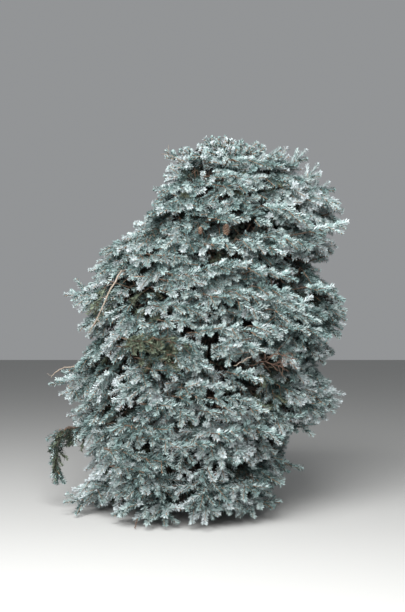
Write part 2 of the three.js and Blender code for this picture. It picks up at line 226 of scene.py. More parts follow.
trunk_shape = bmesh.new()
bmesh.ops.create_cone(trunk_shape, cap_ends=True, segments=TRUNK_SIDES, radius1=1, radius2=1, depth=1)
bmesh.ops.translate(trunk_shape, verts=trunk_shape.verts, vec=(0, 0, 0.5))
upright = [edge for edge in trunk_shape.edges if edge.verts[0].co.z != edge.verts[1].co.z]
bmesh.ops.subdivide_edges(trunk_shape, edges=upright, cuts=TRUNK_RINGS)
for corner in trunk_shape.verts:
    z = corner.co.z * TRUNK_TOP
    turn = math.atan2(corner.co.y, corner.co.x)
    low = max(0, 1 - z / FLARE_HEIGHT)
    flare = 1 + FLARE_GROWTH * low * low * (1 - ROOT_RIDGE + ROOT_RIDGE * math.cos(FLARE_ROOTS * turn))
    radius = flare * (TRUNK_FOOT_RADIUS + (TRUNK_TIP_RADIUS - TRUNK_FOOT_RADIUS) * z / TRUNK_TOP)
    outward = level_way(turn)
    radius += bark_relief(outward * radius + lift(z)) * min(1, radius / FULL_RELIEF_RADIUS)
    corner.co = trunk_centre(z) + outward * radius + lift(z)
trunk = piece_of("trunk_bark", trunk_shape, bark_finish("bark", BARK_PALE, BARK_DARK, grain=34, relief=0.004))
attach(trunk, "root")
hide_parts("trunk")

# Boughs
# Short rough-barked limbs that leave the trunk tier by tier. Each tapers and runs on through its mass of
# foliage, where the side twigs leave it.
CROWN_HEIGHTS = (0, 0.4, 0.85, 1.3, 1.75, 2.15, 2.55, 2.9, 3.15, 3.29, 3.34)
REACH_RIGHT = (0.76, 0.85, 1.15, 1.14, 1.29, 1.13, 1.25, 0.95, 0.69, 0.33, 0)
REACH_LEFT = (1.06, 1.17, 1.3, 1.29, 1.3, 1.18, 0.9, 0.68, 0.54, 0.34, 0)
REACH_FRONT = (1.06, 1.18, 1.23, 1.2, 1.16, 1.09, 0.98, 0.8, 0.57, 0.33, 0)
REACH_BACK = (0.96, 1.09, 1.16, 1.15, 1.11, 1.04, 0.93, 0.76, 0.54, 0.31, 0)
TIER_RADIUS = 1.2
TIER_AT_TRUNK = (0.19, 0.6, 1.0, 1.4, 1.76, 2.08, 2.42, 2.95)
TIER_AT_RIM = (0.06, 0.57, 1.06, 1.56, 2.06, 2.54, 3.04, 4.6)
RIM_DROOP = 0.12
RIM_DROOP_POWER = 6
TIER_WAVE = 0.07
TIER_WAVES = 3
TIER_MASSES = (5, 5, 6, 5, 5, 4, 4)
TIER_TURN = (36, 0, 59, 36, 54, 72, 0)
CELL_FILL = 0.985
BOUGH_TIERS = 4
BOUGH_RADIUS = 0.019
BOUGH_END_RADIUS = 0.006
HIGH_BOUGH_THICKNESS = 0.7
BOUGH_END = 0.84
BOUGH_SAG = 0.05
BOUGH_POINTS = 13
BOUGH_SIDES = 9
BOUGH_RELIEF = 0.6
BOUGH_PALE = (0.17, 0.125, 0.09, 1)
BOUGH_DARK = (0.04, 0.03, 0.022, 1)
LEVELS = tuple(range(len(TIER_AT_TRUNK)))
REACH_SEARCH = (0.02, 2.0)
SEARCH_STEPS = 16


def crown_reach(azimuth, z):
    """The crown's reach from the trunk at an azimuth and height: a quarter ellipse between two sides."""
    across = math.cos(azimuth)
    deep = math.sin(azimuth)
    side = float(np.interp(z, CROWN_HEIGHTS, REACH_RIGHT if across > 0 else REACH_LEFT))
    end = float(np.interp(z, CROWN_HEIGHTS, REACH_BACK if deep > 0 else REACH_FRONT))
    return side * end / max(math.hypot(end * across, side * deep), 1e-6)


def level_height(level, radius, azimuth):
    """The height of a tier level at a distance and azimuth. Level 2.5 is halfway through the third tier."""
    inner = float(np.interp(level, LEVELS, TIER_AT_TRUNK))
    outer = float(np.interp(level, LEVELS, TIER_AT_RIM))
    out = radius / TIER_RADIUS
    wave = TIER_WAVE * min(level, 1) * math.sin(TIER_WAVES * azimuth + 2 * level)
    return inner + (outer - inner + wave) * out - RIM_DROOP * out**RIM_DROOP_POWER


def furthest(near, far, inside):
    """The last value on the way from near to far that lies inside, found by halving the stretch."""
    for _ in range(SEARCH_STEPS):
        middle = (near + far) / 2
        if inside(middle):
            near = middle
        else:
            far = middle
    return near


def surface_radius(azimuth, level):
    """How far out a tier level meets the crown's surface."""
    return furthest(
        *REACH_SEARCH, lambda radius: crown_reach(azimuth, level_height(level, radius, azimuth)) > radius
    )


def out_point(azimuth, radius, z):
    """A point straight out from the trunk, at an azimuth, distance and height."""
    outward = level_way(azimuth)
    return trunk_centre(z) + outward * radius + lift(z)


def crown_point(azimuth, level, share):
    """A point of the crown from its azimuth, tier level and share of the way out to the surface."""
    radius = share * surface_radius(azimuth, level)
    return out_point(azimuth, radius, level_height(level, radius, azimuth))


def masses():
    """The masses of foliage, tier by tier, as the frame's nodes name them."""
    for tier, count in enumerate(TIER_MASSES):
        for i in range(count):
            yield {
                "name": f"{tier + 1}_{i + 1}",
                "tier": tier,
                "azimuth": math.radians(TIER_TURN[tier]) + TURN * i / count,
                "half_turn": math.pi / count * CELL_FILL,
                "level": tier + 0.5,
                "shade": (tier + i) % 3,
            }


def bough_point(mass, share):
    """A point on the limb that runs out through the middle of a mass."""
    level = mass["level"] - BOUGH_SAG * math.sin(math.pi * share)
    return crown_point(mass["azimuth"], level, share)


def add_limb(shape, route, start_radius, end_radius, sides):
    """A tapering limb: a ring that is extruded from point to point and closed at both ends."""
    made = bmesh.ops.create_circle(shape, cap_ends=True, segments=sides, radius=1)
    corners = made["verts"]
    edges = list({edge for corner in corners for edge in corner.link_edges})
    before = Matrix.Identity(4)
    turned = (route[1] - route[0]).to_track_quat("Z", "Y")
    for step, place in enumerate(route):
        ahead = route[min(step + 1, len(route) - 1)] - route[max(step - 1, 0)]
        facing = turned @ Vector((0, 0, 1))
        turned = facing.rotation_difference(ahead) @ turned
        radius = start_radius + (end_radius - start_radius) * step / (len(route) - 1)
        after = Matrix.LocRotScale(place, turned, Vector((radius, radius, radius)))
        if step > 0:
            grown = bmesh.ops.extrude_edge_only(shape, edges=edges)["geom"]
            corners = [part for part in grown if isinstance(part, bmesh.types.BMVert)]
            edges = [part for part in grown if isinstance(part, bmesh.types.BMEdge)]
        bmesh.ops.transform(shape, matrix=after @ before.inverted(), verts=corners)
        before = after
    bmesh.ops.contextual_create(shape, geom=edges)


bough_shape = bmesh.new()
for mass in masses():
    reach = [BOUGH_END * i / (BOUGH_POINTS - 1) for i in range(BOUGH_POINTS)]
    route = [bough_point(mass, share) for share in reach]
    thick = BOUGH_RADIUS if mass["tier"] < BOUGH_TIERS else BOUGH_RADIUS * HIGH_BOUGH_THICKNESS
    add_limb(bough_shape, route, thick, BOUGH_END_RADIUS, BOUGH_SIDES)
bmesh.ops.recalc_face_normals(bough_shape, faces=bough_shape.faces)
bough_shape.normal_update()
for corner in bough_shape.verts:
    corner.co += corner.normal * (bark_relief(corner.co) - SCALE_RELIEF) * BOUGH_RELIEF
bough_finish = bark_finish("bough_bark", BOUGH_PALE, BOUGH_DARK, grain=70, relief=0.002)
boughs = piece_of("bough_bark", bough_shape, bough_finish)
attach(boughs, "root")
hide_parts(*[f"bough_{mass['name']}" for mass in masses() if mass["tier"] < BOUGH_TIERS])

# Bare limbs
# Dead or worn limbs without needles that show outside the foliage, each with a few thin side twigs, and the
# limb at the lower left that hangs down under its own weight.
WEATHERED, DEAD, WORN = range(3)
BARE_WOODS = (
    ("bare_wood", (0.4, 0.34, 0.285, 1), (0.19, 0.15, 0.115, 1)),
    ("dead_twig", (0.23, 0.145, 0.108, 1), (0.085, 0.053, 0.04, 1)),
    ("worn_wood", (0.13, 0.1, 0.08, 1), (0.06, 0.045, 0.035, 1)),
)
Limb = namedtuple("Limb", "radii twigs reach wood route")
FRONT_LIMBS = (
    Limb((0.012, 0.004), 7, 0.07, WEATHERED, (
        (-0.67, -0.3, 2.11), (-0.675, -0.6, 2.1), (-0.685, -0.88, 2.06),
        (-0.78, -0.94, 1.86), (-0.93, -0.88, 1.57),
    )),
    Limb((0.007, 0.003), 2, 0.06, WEATHERED, (
        (0.5, -0.7, 1.42), (0.42, -0.95, 1.41), (0.35, -1.15, 1.39),
        (0.3, -1.18, 1.36), (0.225, -1.2, 1.325),
    )),
    Limb((0.006, 0.003), 12, 0.075, DEAD, (
        (0.45, -0.8, 1.36), (0.5, -1.06, 1.38), (0.54, -1.15, 1.42),
        (0.61, -1.14, 1.4), (0.69, -1.1, 1.38),
    )),
)
OTHER_LIMBS = (
    Limb((0.006, 0.003), 24, 0.085, DEAD, (
        (0.3, -0.7, 1.29), (0.38, -0.95, 1.32), (0.46, -1.02, 1.35),
        (0.54, -1.02, 1.33), (0.62, -0.99, 1.3),
    )),
    Limb((0.01, 0.004), 2, 0.05, WEATHERED, (
        (-0.9, 0, 1.27), (-1.1, 0, 1.275), (-1.22, 0, 1.265),
        (-1.325, 0, 1.235), (-1.385, 0, 1.17),
    )),
    Limb((0.006, 0.002), 3, 0.05, DEAD, (
        (-0.85, 0.23, 0.86), (-0.98, 0.26, 0.87), (-1.06, 0.28, 0.86),
        (-1.13, 0.3, 0.85), (-1.19, 0.31, 0.83),
    )),
    Limb((0.006, 0.002), 3, 0.07, WEATHERED, (
        (0.0, -0.12, 2.98), (-0.12, -0.2, 3.05), (-0.22, -0.24, 3.1),
        (-0.3, -0.26, 3.13), (-0.38, -0.28, 3.14),
    )),
    Limb((0.005, 0.003), 2, 0.04, DEAD, (
        (-0.5, -0.6, 0.12), (-0.52, -0.72, 0.1), (-0.54, -0.8, 0.08),
        (-0.55, -0.86, 0.05), (-0.56, -0.89, 0.01),
    )),
)
HANGING_LIMB = Limb((0.012, 0.005), 4, 0.06, WORN, (
    (-1.0, -0.1, 0.73), (-1.2, -0.1, 0.735), (-1.295, -0.1, 0.69),
    (-1.33, -0.1, 0.59), (-1.315, -0.1, 0.36),
))
BARE_SEED = 3
BARE_SIDES = 6
BARE_CROOK = 0.0045
TWIGS_FROM = 0.35
TWIGS_STRETCH = 0.63
TWIG_LENGTHS = (0.6, 1.5)
TWIG_ONWARD = 0.5
TWIG_OUTWARD = 0.8
TWIG_SAG = -0.1
TWIG_CROOK = 0.5
TWIG_RADII = (0.0028, 0.0014)
TWIG_SIDES = 4
BACKWARD = 0.3
FLOOR_CLEARANCE = 0.004


def smooth_route(places):
    """A route through places with its corners cut twice, so that a limb bends gently."""
    route = [Vector(place) for place in places]
    for _ in range(2):
        cut = [route[0]]
        for before, after in zip(route, route[1:]):
            cut += [before.lerp(after, 0.25), before.lerp(after, 0.75)]
        route = [*cut, route[-1]]
    return route


def along_route(route, share):
    """The point at a share of a route's points, and the route's heading there."""
    share *= len(route) - 1
    step = int(share)
    onward = (route[step + 1] - route[step]).normalized()
    return route[step].lerp(route[step + 1], share - step), onward


bare_rng = np.random.default_rng(BARE_SEED)
bare_shape = bmesh.new()
for limb in (*FRONT_LIMBS, *OTHER_LIMBS, HANGING_LIMB):
    route = [spot + Vector(bare_rng.normal(0, BARE_CROOK, 3)) for spot in smooth_route(limb.route)]
    held = len(bare_shape.faces)
    add_limb(bare_shape, route, *limb.radii, BARE_SIDES)
    for i in range(limb.twigs):
        share = TWIGS_FROM + TWIGS_STRETCH * (i + bare_rng.random()) / limb.twigs
        root, onward = along_route(route, share)
        across = onward.orthogonal().normalized()
        across = Matrix.Rotation(bare_rng.uniform(0, TURN), 3, onward) @ across
        if across.y > BACKWARD:
            across = -across
        heading = (onward * TWIG_ONWARD + across * TWIG_OUTWARD + lift(TWIG_SAG)).normalized()
        half = limb.reach * bare_rng.uniform(*TWIG_LENGTHS) * 0.5
        bent = heading + Vector(bare_rng.normal(0, TWIG_CROOK, 3))
        elbow = root + heading * half
        add_limb(bare_shape, [root, elbow, elbow + bent.normalized() * half], *TWIG_RADII, TWIG_SIDES)
    for face in list(bare_shape.faces)[held:]:
        face.material_index = limb.wood
for corner in bare_shape.verts:
    corner.co.z = max(corner.co.z, FLOOR_CLEARANCE)
bmesh.ops.recalc_face_normals(bare_shape, faces=bare_shape.faces)
bare_finishes = [bark_finish(*wood, grain=90, relief=0.0012) for wood in BARE_WOODS]
bare = piece_of("bare_limbs", bare_shape, *bare_finishes)
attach(bare, "root")

# Cones
# Papery brown cones of up to 8 cm that hang from twigs near the top of the front. Thin, blunt scales overlap
# in a spiral round a darker core that is closed at both ends.
Cone = namedtuple("Cone", "degrees level share length")
CONES = (Cone(271.5, 5.12, 0.965, 0.08), Cone(259, 5.14, 0.93, 0.055), Cone(287, 4.86, 0.9, 0.08))
CONE_GIRTH = 0.32
CORE_GIRTH = 0.6
CONE_ENDS = (0.12, 0.8)
CONE_BLUNTNESS = 0.7
SCALE_SEAT = 0.75
CONE_FULL_LENGTH = 0.085
CONE_SCALES = 46
SCALE_SIZE = (0.0115, 0.019, 0.002)
SCALE_SPREAD = math.radians(62)
GOLDEN_TURN = math.pi * (3 - math.sqrt(5))
CONE_TWIG_FROM = 0.7
CONE_TWIG_RADII = (0.005, 0.004)
CONE_TWIG_SIDES = 5
CONE_SHADES = (
    ("cone_scale", (0.36, 0.25, 0.18, 1), (0.17, 0.1, 0.07, 1)),
    ("cone_inside", (0.09, 0.05, 0.035, 1), (0.045, 0.025, 0.018, 1)),
)


def add_cone(shape, top, length):
    """A cone that hangs from a point: a slim core, and scales in a spiral that is fullest near the middle."""
    radius = CONE_GIRTH * length
    core = bmesh.ops.create_uvsphere(shape, u_segments=8, v_segments=6, radius=1)["verts"]
    middle = Matrix.Translation(top - lift(length / 2))
    girth = Matrix.Diagonal((radius * CORE_GIRTH, radius * CORE_GIRTH, length / 2, 1))
    bmesh.ops.transform(shape, matrix=middle @ girth, verts=core)
    for face in {face for corner in core for face in corner.link_faces}:
        face.material_index = 1
    for i in range(CONE_SCALES):
        down = (i + 0.5) / CONE_SCALES
        girth = radius * math.sin(math.pi * (CONE_ENDS[0] + CONE_ENDS[1] * down)) ** CONE_BLUNTNESS
        turn = GOLDEN_TURN * i
        hung = top - lift(length * down)
        seat = hung + level_way(turn) * girth * SCALE_SEAT
        scale = bmesh.ops.create_uvsphere(shape, u_segments=6, v_segments=4, radius=1)["verts"]
        facing = Matrix.Rotation(turn - math.pi / 2, 4, "Z")
        facing = facing @ Matrix.Rotation(SCALE_SPREAD - math.pi / 2, 4, "X")
        size = Matrix.Diagonal((*(side * length / CONE_FULL_LENGTH for side in SCALE_SIZE), 1))
        bmesh.ops.transform(shape, matrix=Matrix.Translation(seat) @ facing @ size, verts=scale)


cone_shape = bmesh.new()
cone_tops = []
for cone in CONES:
    top = crown_point(math.radians(cone.degrees), cone.level, cone.share)
    inside = crown_point(math.radians(cone.degrees), cone.level, CONE_TWIG_FROM)
    cone_tops.append(top)
    add_limb(cone_shape, [inside, inside.lerp(top, 0.6), top], *CONE_TWIG_RADII, CONE_TWIG_SIDES)
    add_cone(cone_shape, top, cone.length)
cone_finishes = [bark_finish(*shades, grain=60, relief=0.001) for shades in CONE_SHADES]
cones = piece_of("cones", cone_shape, *cone_finishes, smooth=False)
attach(cones, "root")

# Sprays of shoots
# Each side twig ends in a flat spray: every year its tip grows one shoot straight on and two to the sides,
# and two shorter ones leave it half-way. The older a shoot is, the further in it stands and the fewer and
# greener its needles are; its darker tone is partly painted shade. Shaded sprays further in close the crown,
# in near-black tones that are painted shade.
Patch = namedtuple("Patch", "x z wide high strength")
HOLLOWS = (
    Patch(0.045, 1.44, 0.05, 0.12, 0.1),
    Patch(0.4, 1.35, 0.2, 0.065, 0.17),
    Patch(0.1, 2.38, 0.2, 0.07, 0.13),
    Patch(0.36, 1.76, 0.2, 0.08, 0.12),
    Patch(0.24, 2.64, 0.19, 0.055, 0.1),
    Patch(0.4, 0.64, 0.26, 0.06, 0.12),
    Patch(0.59, 1.1, 0.05, 0.2, 0.16),
    Patch(0.75, 0.1, 0.3, 0.3, 0.14),
)
RIM_RIGHT = (
    (0.1, 0.9), (0.35, 0.9), (0.6, 0.78), (0.79, 0.78), (0.86, 1.0), (1.0, 0.98), (1.19, 0.87), (1.4, 1.0),
    (1.9, 0.98), (1.96, 0.86), (2.03, 0.72), (2.13, 0.84), (2.36, 0.9), (2.54, 0.93), (2.63, 0.97),
    (2.9, 0.93), (3.0, 0.92), (3.2, 1.0),
)
RIM_LEFT = (
    (0.1, 1.05), (0.47, 0.95), (0.8, 1.02), (0.91, 0.93), (1.0, 1.0), (1.23, 1.0), (1.46, 0.93), (1.7, 0.96),
    (1.88, 1.03), (1.96, 0.92), (2.2, 0.95), (2.43, 0.92), (2.58, 0.85), (2.85, 0.86), (3.12, 0.96),
    (3.22, 1.0), (3.28, 0.95),
)
TOP_EDGE = (
    (-0.4, 3.1), (-0.27, 3.22), (-0.09, 3.27), (0, 3.31), (0.15, 3.37), (0.22, 3.35), (0.35, 3.24),
    (0.65, 3.2), (0.9, 3.21),
)
GROUND_ROOM = 0.03
GROUND_SPREAD = 0.02
SKIRT_EDGE = ((0.25, GROUND_ROOM), (0.5, 0.1), (0.75, 0.2))
SKIRT_BACK = 0.3
CROWN_MARGIN = 1.04
BACK_TRIM = 0.03
GAP_PLACE = (0.045, 1.44)
GAP_HALF_WIDE = 0.026
GAP_HALF_HIGH = 0.1
DEAD_RECESS = Patch(0.43, 1.345, 0.18, 0.055, 1)
RECESS_BACK = -0.88
LIMB_CLEARANCE = 0.024
CONE_CLEARANCE = (0.03, 0.045)
CLEARED_CONES = 2
CLEARANCE_BACK = 0.03
CLEARED_SHARES = (0.3, 0.65, 1)
YOUNG, OLD, SHADED, INNER = range(4)
SILVER, FROST, PALE, GREY, BLUE, DEEP, OLIVE, DUSKY_SHADE, BROWN_AND_SHADE = range(9)
SHADE_DEAL = (
    (PALE, FROST, SILVER, GREY, PALE, BLUE),
    (BLUE, PALE, GREY, PALE, BLUE, FROST),
    (SILVER, FROST, SILVER, PALE, FROST, GREY),
)
# A second-year shoot may take a darker tone by age. The chance rises with height, which paints shade on the
# upper crown and leaves the skirt paler.
AGE_AND_HEIGHT_SHADE_CHANCES = ((0, 0.05), (1, 0.3), (2, 0.8), (3.3, 1))
# The oldest shoots take dark tones: partly the green of old needles, partly painted shade in the crown.
OLD_AND_SHADE_TONES = (DEEP, DEEP, OLIVE)
# Shaded and inner sprays deep in the crown take near-black tones that paint the shade there.
SHADED_TONES = (DEEP, DUSKY_SHADE, DUSKY_SHADE, BROWN_AND_SHADE)
DUSKY_CHANCE = 0.6
WORN_PATCHES = (
    Patch(-0.32, 1.45, 0.27, 0.12, 0.85),
    Patch(-0.8, 1.88, 0.12, 0.17, 0.85),
    Patch(0.48, 1.08, 0.12, 0.17, 0.85),
)
OLIVE_CHANCE = 0.7
SPRAY_YEARS = 3
SHOOT_LENGTH = 0.125
SHOOT_SIZES = ((0, 1.22), (0.8, 1.12), (1.5, 1.0), (2.5, 1.0), (3.0, 1.12))
LENGTH_SPREAD = (0.85, 1.15)
LAST_LENGTH = 0.95
SIDE_ANGLE = math.radians(50)
HALF_WAY_SHOOTS = {"skip": 0.3, "turn": (0.8, 1.3), "fall": (-0.25, 0.04), "length": (0.45, 0.7)}
HALF_WAY = (0.4, 0.7)
TIP_SHOOTS = {"skip": 0.15, "turn": (0.8, 1.2), "fall": (-0.2, 0.04), "tilt": (-0.3, 0.3)}
RAISED_SHOOTS = {"chance": 0.25, "sides": (1, -0.8), "rise": (0.6, 1.1)}
SHOOT_CROOK = 0.06
FIRST_SINK = -0.06
LATER_RISE = 0.05
DROOPS = ((0, 30), (0.5, 45), (1.3, 45), (2.1, 40), (2.7, 28), (3.0, 4), (3.34, -65))
DROOP_SPREAD = 5
AIM_SPREAD = 0.25
STEEP = 0.2
ROLL_SPREAD = 0.2
ROW_WAVES = ((0.2, 4, 2.1, 0), (0.17, 7, -2.8, 1))
LOBE_DEPTH = 0.1
LOBE_ACROSS = 0.6
LOBE_UP = 0.4
SPRAY_WIDE = 0.3
SPRAY_HIGH = 0.2
HIGH_SPRAY_HIGH = 0.18
HIGH_SPRAY_TIER = 5
TONGUE_SPRAYS = 3
TONGUE_SPREAD = 0.4
TONGUE_OUT = (0.96, 1.01)
TONGUE_BACK = (0.87, 0.93)
TONGUE_SHIFT = 0.45
TONGUE_DROOP = 6
SPRAY_SHIFT = 0.15
SPRAY_DEPTH = 0.02
ROW_HALF = 0.47
LOWEST_ROW = 0.1
LEVEL_SPREAD = 0.04
HIGH_LEVEL_SPREAD = 0.09
STEM_PLACES = (0.35, 0.7)
INNER_SPRAYS = ((0.86, SHADED), (0.72, INNER), (0.48, INNER))
INNER_YEARS = 2
INNER_SPREAD = (-0.05, 0.03)
SHADED_SKIP = 0.4
INNER_TURN = 0.08
INNER_LEVEL = 0.15
Fill = namedtuple("Fill", "kind over rows spacing gap share span")
FILLS = (
    Fill(YOUNG, (YOUNG,), rows=6, spacing=0.08, gap=0.125, share=0.94, span=1),
    Fill(INNER, (SHADED, INNER), rows=4, spacing=0.14, gap=0.15, share=0.78, span=0.78),
)
FILL_YEARS = 2
LOW_FILL_GAP = 1.12
FILL_HOLLOW = 0.96
SPRAY_SEED = 7

Shoot = namedtuple("Shoot", "tier shade place along up length kind finish last")

rng = np.random.default_rng(SPRAY_SEED)
shoots = []
twig_routes = []
kept_clear = []
for limb in FRONT_LIMBS:
    route = smooth_route(limb.route)
    kept_clear += [(spot, LIMB_CLEARANCE, LIMB_CLEARANCE) for spot in route[len(route) // 2 :]]
for top in cone_tops[:CLEARED_CONES]:
    kept_clear.append((top - lift(CONE_CLEARANCE[1]), *CONE_CLEARANCE))


def between(place, pairs):
    """The value at a place, from pairs of places and values."""
    return float(np.interp(place, *zip(*pairs)))


def pick(choices):
    """One of several choices, by chance."""
    return choices[int(rng.integers(len(choices)))]


def patch_distance(place, patch):
    """The squared distance of a point from the middle of an oval patch, 1 at the patch's edge."""
    across = (place.x - patch.x) / patch.wide
    up = (place.z - patch.z) / patch.high
    return across * across + up * up


def hollow_share(place):
    """How much of the way out a spray may go at a point, in from the dark hollows of the front."""
    share = 1
    if place.y > 0:
        return share
    for hollow in HOLLOWS:
        share *= 1 - hollow.strength * math.exp(-patch_distance(place, hollow))
    return share


def rim_share(azimuth, z):
    """The bulges and notches of the outline, at the left and right rims of the crown."""
    across = math.cos(azimuth)
    share = between(z, RIM_RIGHT if across > 0 else RIM_LEFT)
    return 1 + (share - 1) * across * across


def row_wave(azimuth, level):
    """How far the rows of sprays rise and fall around the crown, in tier levels."""
    return sum(high * math.sin(waves * azimuth + turn * level + on) for high, waves, turn, on in ROW_WAVES)


def spray_reach(mass, azimuth, level):
    """How far out a spray of the mass reaches: less near the mass's edges, and less at the hollows."""
    across = (azimuth - mass["azimuth"]) / mass["half_turn"]
    up = (level - mass["level"]) * 2
    lobe = 1 - LOBE_DEPTH * (LOBE_ACROSS * abs(across) ** 3 + LOBE_UP * abs(up) ** 3)
    place = crown_point(azimuth, level, lobe)
    return lobe * hollow_share(place) * rim_share(azimuth, place.z)


def fits_crown(place):
    """True if a point lies within the crown's reach, over the ground and under the edge of the top."""
    centre = trunk_centre(place.z)
    offset = place - centre
    azimuth = math.atan2(offset.y, offset.x)
    margin = CROWN_MARGIN - BACK_TRIM * max(0, math.sin(azimuth))
    if math.hypot(offset.x, offset.y) > crown_reach(azimuth, place.z) * rim_share(azimuth, place.z) * margin:
        return False
    return GROUND_ROOM < place.z < between(place.x, TOP_EDGE)


def hides_detail(place):
    """True if a point of the front stands before the trunk's gap, the recess, a bare limb or a cone."""
    if place.y > 0:
        return False
    if abs(place.x - GAP_PLACE[0]) < GAP_HALF_WIDE and abs(place.z - GAP_PLACE[1]) < GAP_HALF_HIGH:
        return True
    if place.y < RECESS_BACK and patch_distance(place, DEAD_RECESS) < 1:
        return True
    for spot, wide, high in kept_clear:
        before = place.y < spot.y + CLEARANCE_BACK
        if before and abs(place.x - spot.x) < wide and abs(place.z - spot.z) < high:
            return True
    return False


def skirt_room(place):
    """The height of the crown's lower edge: the skirt lies on the ground but lifts on the right."""
    return between(place.x, SKIRT_EDGE) if place.y < SKIRT_BACK else GROUND_ROOM


def add_shoot(mass, place, along, up, length, kind, finish, last):
    """Keeps one shoot if its tip fits. Shoots with finishes of their own may stand out of the crown."""
    tip = place + along * length
    if tip.z < skirt_room(tip) and skirt_room(tip) > 2 * GROUND_ROOM:
        return False
    if tip.z < GROUND_ROOM:
        tip.z = GROUND_ROOM + rng.uniform(0, GROUND_SPREAD)
        along = (tip - place).normalized()
    if "finishes" not in mass and not fits_crown(tip):
        return False
    if any(hides_detail(place.lerp(tip, share)) for share in CLEARED_SHARES):
        return False
    shoots.append(Shoot(mass["tier"], mass["shade"], place, along, up, length, kind, finish, last))
    return True


def worn_chance(place):
    """The chance that a shoot has olive needles: high in three patches of the front."""
    chance = 0
    for patch in WORN_PATCHES:
        if place.y < 0:
            chance += patch.strength * math.exp(-(patch_distance(place, patch) ** 2))
    return chance


def shoot_finish(mass, place, left, kind):
    """The tone of a shoot, from its mass, its place, its age and how deep in the crown it stands. The darker
    tones of deep, old and high shoots are partly painted shade.
    """
    finish = pick(SHADE_DEAL[mass["shade"]])
    if left == 2 and rng.random() < between(place.z, AGE_AND_HEIGHT_SHADE_CHANCES):
        finish = min(finish + 1, BLUE)
    if left > 2:
        finish = pick(OLD_AND_SHADE_TONES)
    if kind == YOUNG and rng.random() < worn_chance(place):
        finish = OLIVE if rng.random() < OLIVE_CHANCE else DEEP
    if kind == SHADED:
        finish = pick(SHADED_TONES)
    if kind == INNER:
        finish = DUSKY_SHADE if rng.random() < DUSKY_CHANCE else BROWN_AND_SHADE
    if "finishes" in mass:
        finish = pick(mass["finishes"])
    return finish


def side_way(along, up, hand, ways):
    """The heading of a side shoot: turned out of the shoot's own, and a little down or up."""
    turned = Matrix.Rotation(hand * SIDE_ANGLE * rng.uniform(*ways["turn"]), 3, up) @ along
    return (turned + lift(rng.uniform(*ways["fall"]))).normalized()


def grow_spray(mass, place, along, up, years, kind):
    """One year's shoot after another, each ending in the next shoot and two side shoots."""
    for left in range(years, 0, -1):
        usual = SHOOT_LENGTH * between(place.z, SHOOT_SIZES)
        length = usual * rng.uniform(*LENGTH_SPREAD) * (1 if left > 1 else LAST_LENGTH)
        finish = shoot_finish(mass, place, left, kind)
        age = OLD if left > 2 and kind == YOUNG else kind
        if not add_shoot(mass, place, along, up, length, age, finish, left == 1):
            return
        if left > 1 and kind == YOUNG:
            for hand in (-1, 1):
                if rng.random() < HALF_WAY_SHOOTS["skip"]:
                    continue
                side = side_way(along, up, hand, HALF_WAY_SHOOTS)
                root = place + along * length * rng.uniform(*HALF_WAY)
                side_length = usual * rng.uniform(*HALF_WAY_SHOOTS["length"])
                add_shoot(mass, root, side, up, side_length, age, finish, True)
        place = place + along * length
        if left > 1:
            for hand in (-1, 1):
                if rng.random() < TIP_SHOOTS["skip"]:
                    continue
                side = side_way(along, up, hand, TIP_SHOOTS)
                tilt = Matrix.Rotation(rng.uniform(*TIP_SHOOTS["tilt"]), 3, along)
                grow_spray(mass, place, side, tilt @ up, left - 1, kind)
            if rng.random() < RAISED_SHOOTS["chance"]:
                raised = along + up * rng.choice(RAISED_SHOOTS["sides"]) * rng.uniform(*RAISED_SHOOTS["rise"])
                grow_spray(mass, place, raised.normalized(), along, 1, kind)
        bend = Vector(rng.normal(0, SHOOT_CROOK, 3)) + lift(FIRST_SINK if left > 2 else LATER_RISE)
        along = (along + bend).normalized()


def spray_at(mass, azimuth, level, share, years, kind, extra_droop=0, aside=0):
    """A spray whose tip comes to lie at a point of the crown. Returns where it starts and heads."""
    tip = crown_point(azimuth, level, share)
    droop = math.radians(between(tip.z, DROOPS) + rng.normal(0, DROOP_SPREAD)) + extra_droop
    aim = azimuth + aside + rng.normal(0, AIM_SPREAD)
    along = Vector((math.cos(aim) * math.cos(droop), math.sin(aim) * math.cos(droop), -math.sin(droop)))
    up = lift(1) - along * along.z
    if up.length < STEEP:
        up = level_way(aim)
    up = Matrix.Rotation(rng.normal(0, ROLL_SPREAD), 3, along) @ up.normalized()
    start = tip - along * SHOOT_LENGTH * between(tip.z, SHOOT_SIZES) * years
    grow_spray(mass, start, along, up, years, kind)
    return start, along


def stemmed_spray(mass, *spray):
    """A spray and the stem that leads out to it from the mass's bough."""
    start, along = spray_at(mass, *spray)
    twig_routes.append((mass["tier"], bough_point(mass, rng.uniform(*STEM_PLACES)), start, along))


def width(mass):
    """How wide a mass is around the crown's surface."""
    return 2 * mass["half_turn"] * surface_radius(mass["azimuth"], mass["level"])


def shoot_point(shoot, share):
    """A point at a share of a shoot's length."""
    return shoot.place + shoot.along * shoot.length * share


